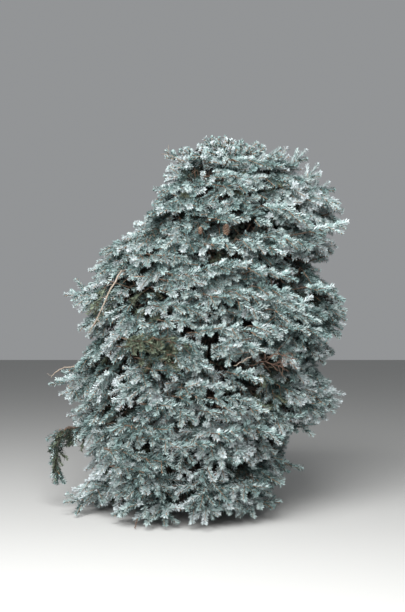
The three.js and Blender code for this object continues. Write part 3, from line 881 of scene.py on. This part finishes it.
for mass in masses():
    tier = mass["tier"]
    high = (crown_point(mass["azimuth"], tier + 1, 1) - crown_point(mass["azimuth"], tier, 1)).length
    columns = max(2, round(width(mass) / SPRAY_WIDE))
    rows = max(2, round(high / (SPRAY_HIGH if tier < HIGH_SPRAY_TIER else HIGH_SPRAY_HIGH)))
    rows += 1 if tier == 0 else 0
    row_middle = LOWEST_ROW if tier == 0 else 0.5
    level_spread = LEVEL_SPREAD if tier < BOUGH_TIERS else HIGH_LEVEL_SPREAD
    for row in range(rows):
        for first in range(0, columns, TONGUE_SPRAYS):
            held = min(TONGUE_SPRAYS, columns - first)
            stands_out = (row + first // TONGUE_SPRAYS) % 2 == 0
            tongue_share = rng.uniform(*(TONGUE_OUT if stands_out else TONGUE_BACK))
            tongue_up = (row + row_middle + rng.uniform(-TONGUE_SHIFT, TONGUE_SHIFT)) / rows * 2 - 1
            tongue_droop = math.radians(rng.normal(0, TONGUE_DROOP))
            for i in range(held):
                across = (first + i + 0.5 + rng.uniform(-SPRAY_SHIFT, SPRAY_SHIFT)) / columns * 2 - 1
                azimuth = mass["azimuth"] + across * mass["half_turn"]
                level = mass["level"] + tongue_up * ROW_HALF
                level += row_wave(azimuth, level) * min(1, max(0, level)) + rng.normal(0, level_spread)
                share = tongue_share + rng.uniform(-SPRAY_DEPTH, SPRAY_DEPTH)
                share = spray_reach(mass, azimuth, level) * share
                aside = TONGUE_SPREAD * (i - (held - 1) / 2)
                stemmed_spray(mass, azimuth, level, share, SPRAY_YEARS, YOUNG, tongue_droop, aside)
                for depth, inner_kind in INNER_SPRAYS:
                    if inner_kind == SHADED and rng.random() < SHADED_SKIP:
                        continue
                    inner_share = share * rng.uniform(*(depth + shift for shift in INNER_SPREAD))
                    inner_azimuth = azimuth + rng.normal(0, INNER_TURN)
                    spray_at(mass, inner_azimuth, level + INNER_LEVEL, inner_share, INNER_YEARS, inner_kind)

for fill in FILLS:
    young = fill.kind == YOUNG
    middles = [shoot_point(shoot, 0.5) for shoot in shoots if shoot.kind in fill.over]
    for mass in masses():
        gap = fill.gap * (LOW_FILL_GAP if young and mass["tier"] < BOUGH_TIERS else 1)
        columns = max(2, round(width(mass) * fill.span / fill.spacing))
        for row, column in np.ndindex(fill.rows, columns):
            azimuth = mass["azimuth"] + mass["half_turn"] * ((column + 0.5) / columns * 2 - 1)
            level = mass["tier"] + (row + 0.5) / fill.rows
            share = spray_reach(mass, azimuth, level) * fill.share
            spot = crown_point(azimuth, level, share)
            if young and (hollow_share(spot) < FILL_HOLLOW or spot.z < 2 * GROUND_ROOM):
                continue
            if min((middle - spot).length for middle in middles) > gap:
                first = len(shoots)
                grown = stemmed_spray if young else spray_at
                grown(mass, azimuth, level, share, FILL_YEARS, fill.kind)
                middles += [shoot_point(shoot, 0.5) for shoot in shoots[first:]]

# Shoots that stand out
# A few sprays reach beyond their neighbours at the rims, short branches lie over the front, and the hanging
# limb carries dark, sparse shoots, whose darkness is partly painted shade. They have a seed of their own, so
# that the sprays before them stay.
# Each outlier has a tip, a heading and a number of years.
OUTLIERS = (
    ((0.9, -0.1, 3.19), (0.7, 0, 0.6), 2),
    ((1.22, -0.15, 2.64), (0.95, -0.1, 0.1), 3),
    ((1.25, -0.1, 1.78), (0.95, -0.15, 0.05), 3),
    ((1.18, -0.25, 1.68), (0.9, -0.2, -0.2), 3),
    ((0.95, -0.3, 0.77), (0.95, -0.2, 0.1), 2),
    ((0.8, -0.45, 0.42), (0.9, -0.2, -0.3), 1),
    ((1.12, -0.1, 0.88), (0.5, -0.2, -0.85), 3),
    ((1.04, -0.3, 0.86), (0.4, -0.3, -0.85), 3),
    ((0.94, -0.45, 0.87), (0.35, -0.3, -0.9), 3),
    ((1.02, 0.15, 0.87), (0.4, 0.2, -0.85), 3),
    ((-0.34, -0.05, 3.2), (-0.8, 0, 0.5), 2),
    ((-1.22, -0.15, 1.9), (-0.95, -0.15, -0.1), 3),
    ((-1.33, -0.1, 1.12), (-0.95, -0.1, -0.2), 3),
    ((-1.23, -0.15, 1.0), (-0.9, -0.2, -0.3), 2),
    ((-1.2, -0.1, 0.83), (-0.9, -0.2, -0.15), 2),
    ((-1.12, -0.35, 0.12), (-0.9, -0.3, -0.15), 2),
    ((1.08, -0.1, 2.9), (0.7, 0, 0.5), 2),
    ((-0.78, -0.75, 1.84), (-0.5, -0.7, -0.4), 2),
    ((-0.85, -0.7, 1.76), (-0.5, -0.7, -0.4), 2),
    ((0.98, -0.15, 3.03), (0.6, 0, 0.75), 2),
)
SIDE_OUTLIERS = (
    ((0.99, 0.18, 1.22), (0.8, 0.15, -0.4), 3),
    ((0.98, 0.4, 1.18), (0.8, 0.3, -0.4), 3),
    ((0.99, 0.3, 1.04), (0.8, 0.2, -0.45), 3),
    ((0.94, 0.54, 1.03), (0.7, 0.45, -0.45), 3),
    ((1.02, -0.28, 1.92), (0.85, -0.25, -0.3), 3),
    ((0.85, -0.62, 1.2), (0.7, -0.6, -0.4), 3),
)
SPRAY_FACE = Vector((0, -0.5, 0.85))
OUTLIER_STEM = 0.2
# The start and the heading of each tuft.
HANGING_TUFTS = (
    ((-1.28, -0.1, 0.72), (-0.6, -0.2, -0.5)),
    ((-1.3, -0.12, 0.68), (-0.4, -0.1, -0.8)),
    ((-1.32, -0.12, 0.6), (-0.25, -0.2, -0.9)),
    ((-1.31, -0.08, 0.45), (-0.35, 0, -1)),
    ((-1.315, -0.1, 0.4), (0.3, 0.1, -1)),
    ((-1.315, -0.1, 0.38), (-0.1, -0.2, -1)),
    ((-1.16, -0.12, 0.73), (0.1, 0, -1)),
    ((-1.33, -0.1, 0.55), (-0.2, -0.3, -1)),
    ((-1.24, -0.12, 0.72), (-0.2, -0.2, -1)),
    ((-1.315, -0.12, 0.36), (0.5, -0.1, -0.7)),
)
HANGING_SHOOTS = 76
HANGING_FROM = 0.1
HANGING_STRETCH = 0.88
HANGING_SPREAD = 0.6
HANGING_LEFTMOST = -0.2
HANGING_ONWARD = 0.6
HANGING_DOWN = 0.8
HANGING_LENGTHS = (0.05, 0.135)
# Dark tones of the hanging shoots: partly older needles, partly painted shade.
HANGING_TONES = (DEEP, DUSKY_SHADE, OLIVE, DUSKY_SHADE)
FRINGE = {"left": -1.27, "low": 0.68, "length": 1.5}
# The x and the height of both ends on the crown's front, and how far the branch arches.
FRONT_BRANCHES = (
    ((0.08, 2.48), (0.5, 2.45), 0.03), ((-0.09, 2.03), (0.2, 2.1), 0.02),
    ((0.12, 2.1), (0.45, 2.05), 0.02), ((0.04, 1.86), (0.48, 1.7), 0.04),
    ((-0.08, 1.58), (0.3, 1.6), 0.02), ((0.12, 1.47), (0.43, 1.44), 0.03),
    ((0.64, 1.62), (1.0, 1.54), 0.03), ((0.85, 1.93), (1.13, 1.85), 0.03),
    ((0.5, 2.58), (0.85, 2.5), 0.02), ((0.85, 2.4), (1.18, 2.51), 0.0),
    ((0.05, 2.85), (0.45, 2.81), 0.02), ((0.1, 0.8), (0.6, 0.76), 0.04),
    ((0.42, 1.93), (0.7, 1.86), 0.02), ((0.15, 1.0), (0.45, 0.94), 0.03),
    ((0.3, 2.3), (0.62, 2.21), 0.02), ((0.55, 2.33), (0.85, 2.28), 0.02),
    ((-0.35, 1.78), (-0.02, 1.72), 0.03), ((-0.72, 0.5), (-0.42, 0.46), 0.02),
    ((-0.2, 0.69), (0.05, 0.7), 0.03), ((-0.46, 1.01), (-0.1, 0.92), 0.04),
    ((-0.76, 0.63), (-0.36, 0.55), 0.03), ((-0.2, 1.34), (0.06, 1.31), 0.02),
    ((-0.52, 0.75), (-0.2, 0.69), 0.03), ((-0.15, 1.15), (0.16, 1.12), 0.03),
    ((0.3, 1.52), (0.09, 1.47), 0.01), ((0.3, 1.42), (0.09, 1.38), 0.01),
    ((-0.24, 1.5), (-0.01, 1.46), 0.01), ((-0.24, 1.4), (-0.01, 1.36), 0.01),
    ((0.4, 2.05), (0.72, 2.0), 0.02), ((0.25, 3.0), (0.6, 2.97), 0.02),
    ((-0.3, 1.9), (-0.05, 1.85), 0.02), ((-0.42, 2.2), (-0.15, 2.15), 0.02),
    ((0.48, 1.83), (0.84, 1.78), 0.02), ((0.55, 1.75), (0.9, 1.66), 0.02),
    ((-0.2, 1.08), (0.05, 1.05), 0.02), ((0.08, 1.07), (0.3, 1.04), 0.02),
    ((-0.58, 0.84), (-0.3, 0.8), 0.02), ((0.4, 1.62), (0.62, 1.57), 0.02),
    ((0.15, 2.76), (0.4, 2.72), 0.02), ((-0.27, 2.04), (-0.04, 1.99), 0.02),
    ((0.22, 1.26), (0.42, 1.2), 0.02), ((0.05, 2.27), (0.28, 2.23), 0.02),
    ((-0.46, 0.59), (-0.22, 0.55), 0.02), ((-0.6, 2.2), (-0.37, 2.15), 0.02),
    ((-0.3, 1.99), (-0.04, 1.95), 0.02), ((-0.32, 1.67), (-0.07, 1.63), 0.02),
    ((0.36, 1.58), (0.58, 1.54), 0.02), ((-0.42, 1.29), (-0.2, 1.24), 0.02),
    ((0.24, 1.89), (0.45, 1.85), 0.02), ((0.02, 0.97), (0.26, 0.93), 0.02),
)
WORN_BRANCHES = (
    ((-0.62, 1.52), (-0.34, 1.43), 0.03),
    ((-0.36, 1.52), (-0.1, 1.43), 0.03),
    ((-0.5, 1.37), (-0.22, 1.31), 0.02),
    ((-0.82, 1.95), (-0.93, 1.72), 0.0),
    ((-0.66, 1.46), (-0.42, 1.42), 0.02),
)
BRANCH_SHARE = 0.99
BRANCH_SEARCH = (0.0, -1.6)
BRANCH_STEP = 0.85
BRANCH_CROOK = 0.016
BRANCH_ROOT = 0.6
BRANCH_SIDES = {"turn": (0.6, 1.3), "fall": (-0.3, 0), "length": (0.55, 1.05)}
BRANCH_TONES = (FROST, PALE, PALE, GREY, BLUE)
WORN_TONES = (OLIVE, OLIVE, DEEP)
TIER_HIGH = 0.48
OUTLIER_SEED = 11


def tier_at(z):
    """The tier of the crown at a height."""
    return min(len(TIER_MASSES) - 1, int(z / TIER_HIGH))


def front_point(x, z):
    """The point of the crown's front surface at an x and a height."""
    centre = trunk_centre(z)

    def inside(y):
        reach = crown_reach(math.atan2(y - centre.y, x - centre.x), z)
        return math.hypot(x - centre.x, y - centre.y) < reach * BRANCH_SHARE

    return Vector((x, furthest(*BRANCH_SEARCH, inside), z))


def grow_branch(mass, begin, end, sag):
    """A line of shoots from point to point, each with a side shoot to the left and one to the right."""

    def arch(share):
        return begin.lerp(end, share) + lift(sag * math.sin(math.pi * share))

    steps = max(2, round((end - begin).length / (SHOOT_LENGTH * BRANCH_STEP)))
    for i in range(steps):
        place = arch(i / steps)
        ahead = arch(i / steps + 1 / steps)
        along = (ahead - place + Vector(rng.normal(0, BRANCH_CROOK, 3))).normalized()
        up = (SPRAY_FACE - along * along.dot(SPRAY_FACE)).normalized()
        add_shoot(mass, place, along, up, SHOOT_LENGTH, mass["kind"], pick(mass["finishes"]), i == steps - 1)
        for hand in (-1, 1):
            side = side_way(along, up, hand, BRANCH_SIDES)
            finish = pick(mass["finishes"])
            length = SHOOT_LENGTH * rng.uniform(*BRANCH_SIDES["length"])
            add_shoot(mass, place, side, up, length, mass["kind"], finish, True)


def grow_outliers(outliers):
    """A spray for each outlier's tip, heading and years, with the twig that leads out to it."""
    for tip, heading, years in outliers:
        tip = Vector(tip)
        mass = {"tier": tier_at(tip.z), "shade": 1, "finishes": (SILVER, FROST, PALE, GREY)}
        along = Vector(heading).normalized()
        up = SPRAY_FACE - along * along.dot(SPRAY_FACE)
        start = tip - along * SHOOT_LENGTH * years
        grow_spray(mass, start, along, up.normalized(), years, YOUNG)
        twig_routes.append((mass["tier"], start - along * OUTLIER_STEM, start, along))


rng = np.random.default_rng(OUTLIER_SEED)
grow_outliers(OUTLIERS)

for branches, kind, tones in ((FRONT_BRANCHES, YOUNG, BRANCH_TONES), (WORN_BRANCHES, OLD, WORN_TONES)):
    for begin, end, sag in branches:
        begin = front_point(*begin)
        end = front_point(*end)
        branch_mass = {"tier": tier_at(begin.z), "shade": 1, "kind": kind, "finishes": tones}
        grow_branch(branch_mass, begin, end, sag)
        behind = Vector((begin.x * BRANCH_ROOT, begin.y * BRANCH_ROOT, begin.z))
        twig_routes.append((branch_mass["tier"], behind, begin, (end - begin).normalized()))

hung_mass = {"tier": 1, "shade": 0, "finishes": (BLUE, PALE, GREY)}
hung_route = smooth_route(HANGING_LIMB.route)
forwards = Vector((0, -1, 0))
for i in range(HANGING_SHOOTS):
    start, onward = along_route(hung_route, HANGING_FROM + HANGING_STRETCH * i / HANGING_SHOOTS)
    aside = max(HANGING_LEFTMOST, rng.normal(0, HANGING_SPREAD))
    hung_way = Vector((aside, rng.normal(0, HANGING_SPREAD), -HANGING_DOWN))
    along = (onward * HANGING_ONWARD + hung_way).normalized()
    finish = pick(HANGING_TONES)
    length = rng.uniform(*HANGING_LENGTHS)
    if start.x > FRINGE["left"] and start.z > FRINGE["low"]:
        length *= FRINGE["length"]
    add_shoot(hung_mass, start, along, forwards, length, OLD, finish, False)
for start, heading in HANGING_TUFTS:
    grow_spray(hung_mass, Vector(start), Vector(heading).normalized(), forwards, 1, YOUNG)
grow_outliers(SIDE_OUTLIERS)

# Top
# The rounded top has no leader. Short twigs fan out from the trunk's tip instead, and their sprays close the
# crown over it.
TOP_SPREAD = 0.225
TOP_SPRAYS = 13
TOP_YEARS = 2
TOP_TIER = 7
TOP_SUNK = 0.02
TOP_SHIFT = 0.03
TOP_SEARCH = (3.0, 3.4)

top_mass = {"tier": TOP_TIER, "shade": 0}
top_centre = trunk_centre(TRUNK_TOP) + lift(TRUNK_TOP)
for i in range(TOP_SPRAYS):
    azimuth = GOLDEN_TURN * i
    radius = TOP_SPREAD * math.sqrt(i / TOP_SPRAYS)
    height = furthest(*TOP_SEARCH, lambda z: crown_reach(azimuth, z) > radius)
    tip = out_point(azimuth, radius, height - TOP_SUNK)
    tip.x -= TOP_SHIFT
    along = (tip - top_centre).normalized()
    start = tip - along * SHOOT_LENGTH * TOP_YEARS
    grow_spray(top_mass, start, along, along.orthogonal().normalized(), TOP_YEARS, YOUNG)
    twig_routes.append((TOP_TIER, top_centre, start, along))

# Needles
# Stiff needles of 2 to 3 cm stand out all round the shoot and sweep forward to its tip, under a pale wax that
# wears off with age. Each is a folded blade, larger than life. Packed ones lie close and fill the brush; they
# and the needles at a shoot's foot are dealt darker tones as painted shade.
# Their kinds are in the order of YOUNG, OLD, SHADED and INNER.
NEEDLE_KINDS = (
    {"count": 50, "length": 0.037, "width": 0.0088, "packed": 3},
    {"count": 32, "length": 0.035, "width": 0.0084, "packed": 4},
    {"count": 15, "length": 0.046, "width": 0.014, "packed": 4},
    {"count": 10, "length": 0.075, "width": 0.026, "packed": 0},
)
NEEDLE_MIDDLE = 0.7
NEEDLE_FOLD = 0.5
NEEDLE_LIFT = 0.1
NEEDLE_TURN = 0.35
NEEDLE_ROLL = 0.22
NEEDLE_LENGTHS = (0.85, 1.1)
SIDE_LEAN = math.radians(53)
TIP_LEAN = math.radians(8)
LEAN_SPREAD = 0.1
TIP_CROWD = 1.2
TIP_SHORTER = 0.25
PACKED_LENGTH = 0.055
PACKED_WIDTH = 0.02
PACKED_LEAN = math.radians(20)
PACKED_SPREAD = 0.08
PACKED_STRETCH = 0.75
SHOOT_BOW = 0.012
SHOOT_PATTERNS = 4
PATTERN_SEED = 40
SHOOT_ROLL = 0.6
THICKNESS = (1.0, 1.2)
THICKNESS_POWER = 0.4
# Painted shade: the needles of a shoot's first quarter, and the packed ones, take darker tones.
FOOT_SHARE = 0.25
DARKER_SHARE = 0.2
BLADE_FACES = ((0, 1, 2), (0, 2, 3))
NEEDLE_SHADES = (
    ("needles_silver", (0.483, 0.533, 0.548, 1)),
    ("needles_frost", (0.445, 0.503, 0.51, 1)),
    ("needles_pale", (0.378, 0.455, 0.448, 1)),
    ("needles_grey", (0.285, 0.372, 0.365, 1)),
    ("needles_blue", (0.195, 0.28, 0.274, 1)),
    # The deep tone is partly the green of old needles and partly painted shade. The dusky tone is painted
    # shade, and the brown one is dead needles darkened into painted shade.
    ("needles_deep", (0.048, 0.079, 0.074, 1)),
    ("needles_olive", (0.105, 0.128, 0.088, 1)),
    ("needles_dusky_shade", (0.023, 0.032, 0.025, 1)),
    ("needles_brown_and_shade", (0.017, 0.013, 0.01, 1)),
)
SHADE_NAMES = ("pale", "blue", "silver")
BANDS = (("low", range(0, 2)), ("middle", range(2, 4)), ("high", range(4, 8)))


def unit(rows):
    """Rows of vectors made one unit long."""
    return rows / np.linalg.norm(rows, axis=-1)[..., None]


def blades(local, place, lean, length, width, bow):
    """Folded blades that leave the shoot, each with four corners: foot, two sides and tip."""
    count = len(place)
    turn = np.arange(count) * GOLDEN_TURN + local.normal(0, NEEDLE_TURN, count)
    radial = np.stack([np.zeros(count), np.cos(turn), np.sin(turn)], axis=1)
    direction = np.array([1.0, 0, 0]) * np.cos(lean)[:, None] + radial * np.sin(lean)[:, None]
    direction[:, 2] += NEEDLE_LIFT
    direction = unit(direction)
    across = unit(np.cross(direction, radial))
    back = np.cross(across, direction)
    roll = local.normal(0, NEEDLE_ROLL, count)[:, None]
    wing = across * np.cos(roll) + back * np.sin(roll)
    ridge = back * np.cos(roll) - across * np.sin(roll)
    reach = (length * local.uniform(*NEEDLE_LENGTHS, count))[:, None]
    foot = np.stack([place * SHOOT_LENGTH, np.zeros(count), bow * place**2], axis=1)
    middle = foot + direction * reach * NEEDLE_MIDDLE
    left = middle + (wing - ridge * NEEDLE_FOLD) * width / 2
    right = middle - (wing + ridge * NEEDLE_FOLD) * width / 2
    return np.stack([foot, left, foot + direction * reach, right], axis=1).reshape(-1, 3)


def shoot_pattern(kind, seed):
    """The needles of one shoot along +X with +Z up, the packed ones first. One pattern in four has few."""
    needles = NEEDLE_KINDS[kind]
    local = np.random.default_rng(seed)
    bow = SHOOT_BOW * local.uniform(0, 1)
    packed = needles["packed"] if seed % SHOOT_PATTERNS else needles["packed"] // 3
    place = (np.arange(packed) + 0.5) / max(packed, 1) * PACKED_STRETCH
    lean = np.full(packed, PACKED_LEAN) + local.normal(0, PACKED_SPREAD, packed)
    inner = blades(local, place, lean, PACKED_LENGTH, PACKED_WIDTH, bow)
    count = needles["count"]
    along = (np.arange(count) + local.random(count)) / count * TIP_CROWD
    place = np.minimum(along, 1)
    close = np.maximum(along - 1, 0) / (TIP_CROWD - 1)
    lean = SIDE_LEAN - (SIDE_LEAN - TIP_LEAN) * close + local.normal(0, LEAN_SPREAD, count)
    outer = blades(local, place, lean, needles["length"] * (1 - TIP_SHORTER * close), needles["width"], bow)
    return np.concatenate([inner, outer])


def darker(finish, steps):
    """A tone some steps darker, but no darker than the deep one."""
    return max(finish, min(finish + steps, DEEP))


def dressed_shoot(shoot):
    """The corners of a shoot's needles, and the tone of each needle: darker at its foot and close to it, as
    painted shade.
    """
    pattern = pick(patterns[shoot.kind])
    over = (shoot.up - shoot.along * shoot.up.dot(shoot.along)).normalized()
    side = over.cross(shoot.along)
    roll = Matrix.Rotation(rng.normal(0, SHOOT_ROLL), 3, shoot.along)
    longer = shoot.length / SHOOT_LENGTH
    thick = rng.uniform(*THICKNESS) * longer**THICKNESS_POWER
    axes = np.array([shoot.along * longer, (roll @ side) * thick, (roll @ over) * thick])
    needles = len(pattern) // 4
    count = NEEDLE_KINDS[shoot.kind]["count"]
    packed = needles - count
    tones = np.full(needles, shoot.finish)
    tones[packed : packed + int(count * FOOT_SHARE)] = darker(shoot.finish, 2)
    tones[rng.random(needles) < DARKER_SHARE] = darker(shoot.finish, 2)
    tones[:packed] = darker(shoot.finish, 3)
    return pattern @ axes + np.array(shoot.place), tones


def joined_mesh(name, corners, faces, dealt, finishes):
    """One mesh from arrays of corners and triangles, with a finish dealt to each triangle."""
    mesh = bpy.data.meshes.new(name)
    mesh.vertices.add(len(corners))
    mesh.vertices.foreach_set("co", corners.astype(np.float32).ravel())
    mesh.loops.add(len(faces) * 3)
    mesh.loops.foreach_set("vertex_index", faces.astype(np.int32).ravel())
    mesh.polygons.add(len(faces))
    mesh.polygons.foreach_set("loop_start", np.arange(len(faces), dtype=np.int32) * 3)
    mesh.polygons.foreach_set("material_index", dealt.astype(np.int32))
    for finish in finishes:
        mesh.materials.append(finish)
    mesh.update(calc_edges=True)
    mesh.validate()
    return mesh


needle_finishes = [plain_finish(*shade, roughness=0.62, specular=0.25) for shade in NEEDLE_SHADES]
patterns = [
    [shoot_pattern(kind, PATTERN_SEED + 10 * kind + i) for i in range(SHOOT_PATTERNS)]
    for kind in range(len(NEEDLE_KINDS))
]
for band, tiers in BANDS:
    for shade, shade_name in enumerate(SHADE_NAMES):
        held = [shoot for shoot in shoots if shoot.tier in tiers and shoot.shade == shade]
        corners, tones = zip(*[dressed_shoot(shoot) for shoot in held])
        corners = np.concatenate(corners)
        corners[:, 2] = np.maximum(corners[:, 2], FLOOR_CLEARANCE)
        firsts = np.arange(len(corners) // 4)[:, None, None] * 4
        faces = (firsts + np.array(BLADE_FACES)).reshape(-1, 3)
        dealt = np.concatenate(tones).repeat(len(BLADE_FACES))
        name = f"needles_{shade_name}_{band}"
        needles = shown(name, joined_mesh(name, corners, faces, dealt, needle_finishes))
        nodes = [f"foliage_{m['name']}" for m in masses() if m["tier"] in tiers and m["shade"] == shade]
        if band == "high" and shade == top_mass["shade"]:
            nodes.append("foliage_top")
        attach(needles, "root")
        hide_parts(*nodes)

# Twigs
# The wood of the shoots: orange-brown in their first years, grey-brown and rough where they are older, in a
# dark tone that is partly painted shade. Bare stems lead from the boughs out to the sprays.
YOUNG_TWIG_RADIUS = 0.0029
OLD_TWIG_THICKNESS = 1.7
TWIG_TAPER = 0.7
BUD_LENGTH = 0.016
BUD_RADIUS = 0.0045
BUD_MIDDLE = 0.35
STEM_RADIUS = 0.006
STEM_TAPER = 0.65
STEM_POINTS = 5
STEM_SAG = 0.02
STEM_STRAIGHT = 0.06
STRAND_FACES = 8
STEEP_TWIG = 0.8
BUD_GUIDE = (0.3, 0.5, 0.81)
YOUNG_WOOD, OLD_WOOD_AND_SHADE = range(2)
TWIG_FINISHES = (
    plain_finish("young_twig", (0.32, 0.175, 0.097, 1), roughness=0.62, specular=0.25),
    # The old wood's dark tone, also on the stems inside the crown, is partly painted shade.
    plain_finish("old_twig_and_shade", (0.08, 0.053, 0.036, 1), roughness=0.62, specular=0.25),
)


def strands(routes, radii):
    """Three-sided tapering twigs along routes of equally many points, closed at both ends."""
    count, points, _ = routes.shape
    along = unit(np.gradient(routes, axis=1))
    guide = np.where(np.abs(along[:, :1, 2:]) > STEEP_TWIG, [[[1.0, 0, 0]]], [[[0, 0, 1.0]]])
    side = unit(np.cross(along, np.broadcast_to(guide, along.shape)))
    over = np.cross(along, side)
    corners = []
    for i in range(3):
        turn = TURN * i / 3
        corners.append(routes + (side * math.cos(turn) + over * math.sin(turn)) * radii[:, :, None])
    corners = np.stack(corners, axis=2).reshape(-1, 3)
    faces = []
    for step in range(points - 1):
        for i in range(3):
            a = step * 3 + i
            b = step * 3 + (i + 1) % 3
            faces += [(a, b, b + 3), (a, b + 3, a + 3)]
    last = (points - 1) * 3
    faces += [(0, 2, 1), (last, last + 1, last + 2)]
    faces = np.array(faces)[None] + (np.arange(count) * points * 3)[:, None, None]
    return corners, faces.reshape(-1, 3)


def buds(tips, heading):
    """Pointed buds of eight faces, one on each tip."""
    side = unit(np.cross(heading, BUD_GUIDE))
    over = np.cross(heading, side)
    middle = tips + heading * BUD_LENGTH * BUD_MIDDLE
    ring = [middle + BUD_RADIUS * part for part in (side, over, -side, -over)]
    corners = np.stack([tips, *ring, tips + heading * BUD_LENGTH], axis=1).reshape(-1, 3)
    faces = [(0, 2, 1), (0, 3, 2), (0, 4, 3), (0, 1, 4), (5, 1, 2), (5, 2, 3), (5, 3, 4), (5, 4, 1)]
    faces = np.array(faces)[None] + (np.arange(len(tips)) * 6)[:, None, None]
    return corners, faces.reshape(-1, 3)


for band, tiers in BANDS:
    held = [shoot for shoot in shoots if shoot.tier in tiers]
    ends = [[shoot_point(shoot, 0), shoot_point(shoot, 1)] for shoot in held]
    old = np.array([shoot.kind != YOUNG for shoot in held])
    thick = np.where(old, YOUNG_TWIG_RADIUS * OLD_TWIG_THICKNESS, YOUNG_TWIG_RADIUS)
    routes = []
    for tier, stem, start, along in twig_routes:
        if tier in tiers:
            behind = start - along * STEM_STRAIGHT
            sag = stem.lerp(behind, 0.5) - lift(STEM_SAG)
            routes.append([stem, stem.lerp(sag, 0.5), sag, behind, start])
    radii = np.linspace(STEM_RADIUS, STEM_RADIUS * STEM_TAPER, STEM_POINTS)[None].repeat(len(routes), axis=0)
    budded = [shoot for shoot in held if shoot.last and shoot.kind == YOUNG]
    tips = np.array([shoot_point(shoot, 1) for shoot in budded])
    heading = np.array([shoot.along for shoot in budded])
    parts = (
        (*strands(np.array(ends), np.stack([thick, thick * TWIG_TAPER], axis=1)), old.repeat(STRAND_FACES)),
        (*strands(np.array(routes), radii), OLD_WOOD_AND_SHADE),
        (*buds(tips, heading), YOUNG_WOOD),
    )
    corners = np.empty((0, 3))
    faces = np.empty((0, 3), int)
    dealt = np.empty(0, int)
    for part_corners, part_faces, wood in parts:
        faces = np.concatenate([faces, part_faces + len(corners)])
        dealt = np.concatenate([dealt, np.broadcast_to(wood, len(part_faces))])
        corners = np.concatenate([corners, part_corners])
    corners[:, 2] = np.maximum(corners[:, 2], FLOOR_CLEARANCE)
    name = f"twigs_{band}"
    twigs = shown(name, joined_mesh(name, corners, faces, dealt, TWIG_FINISHES))
    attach(twigs, "root")
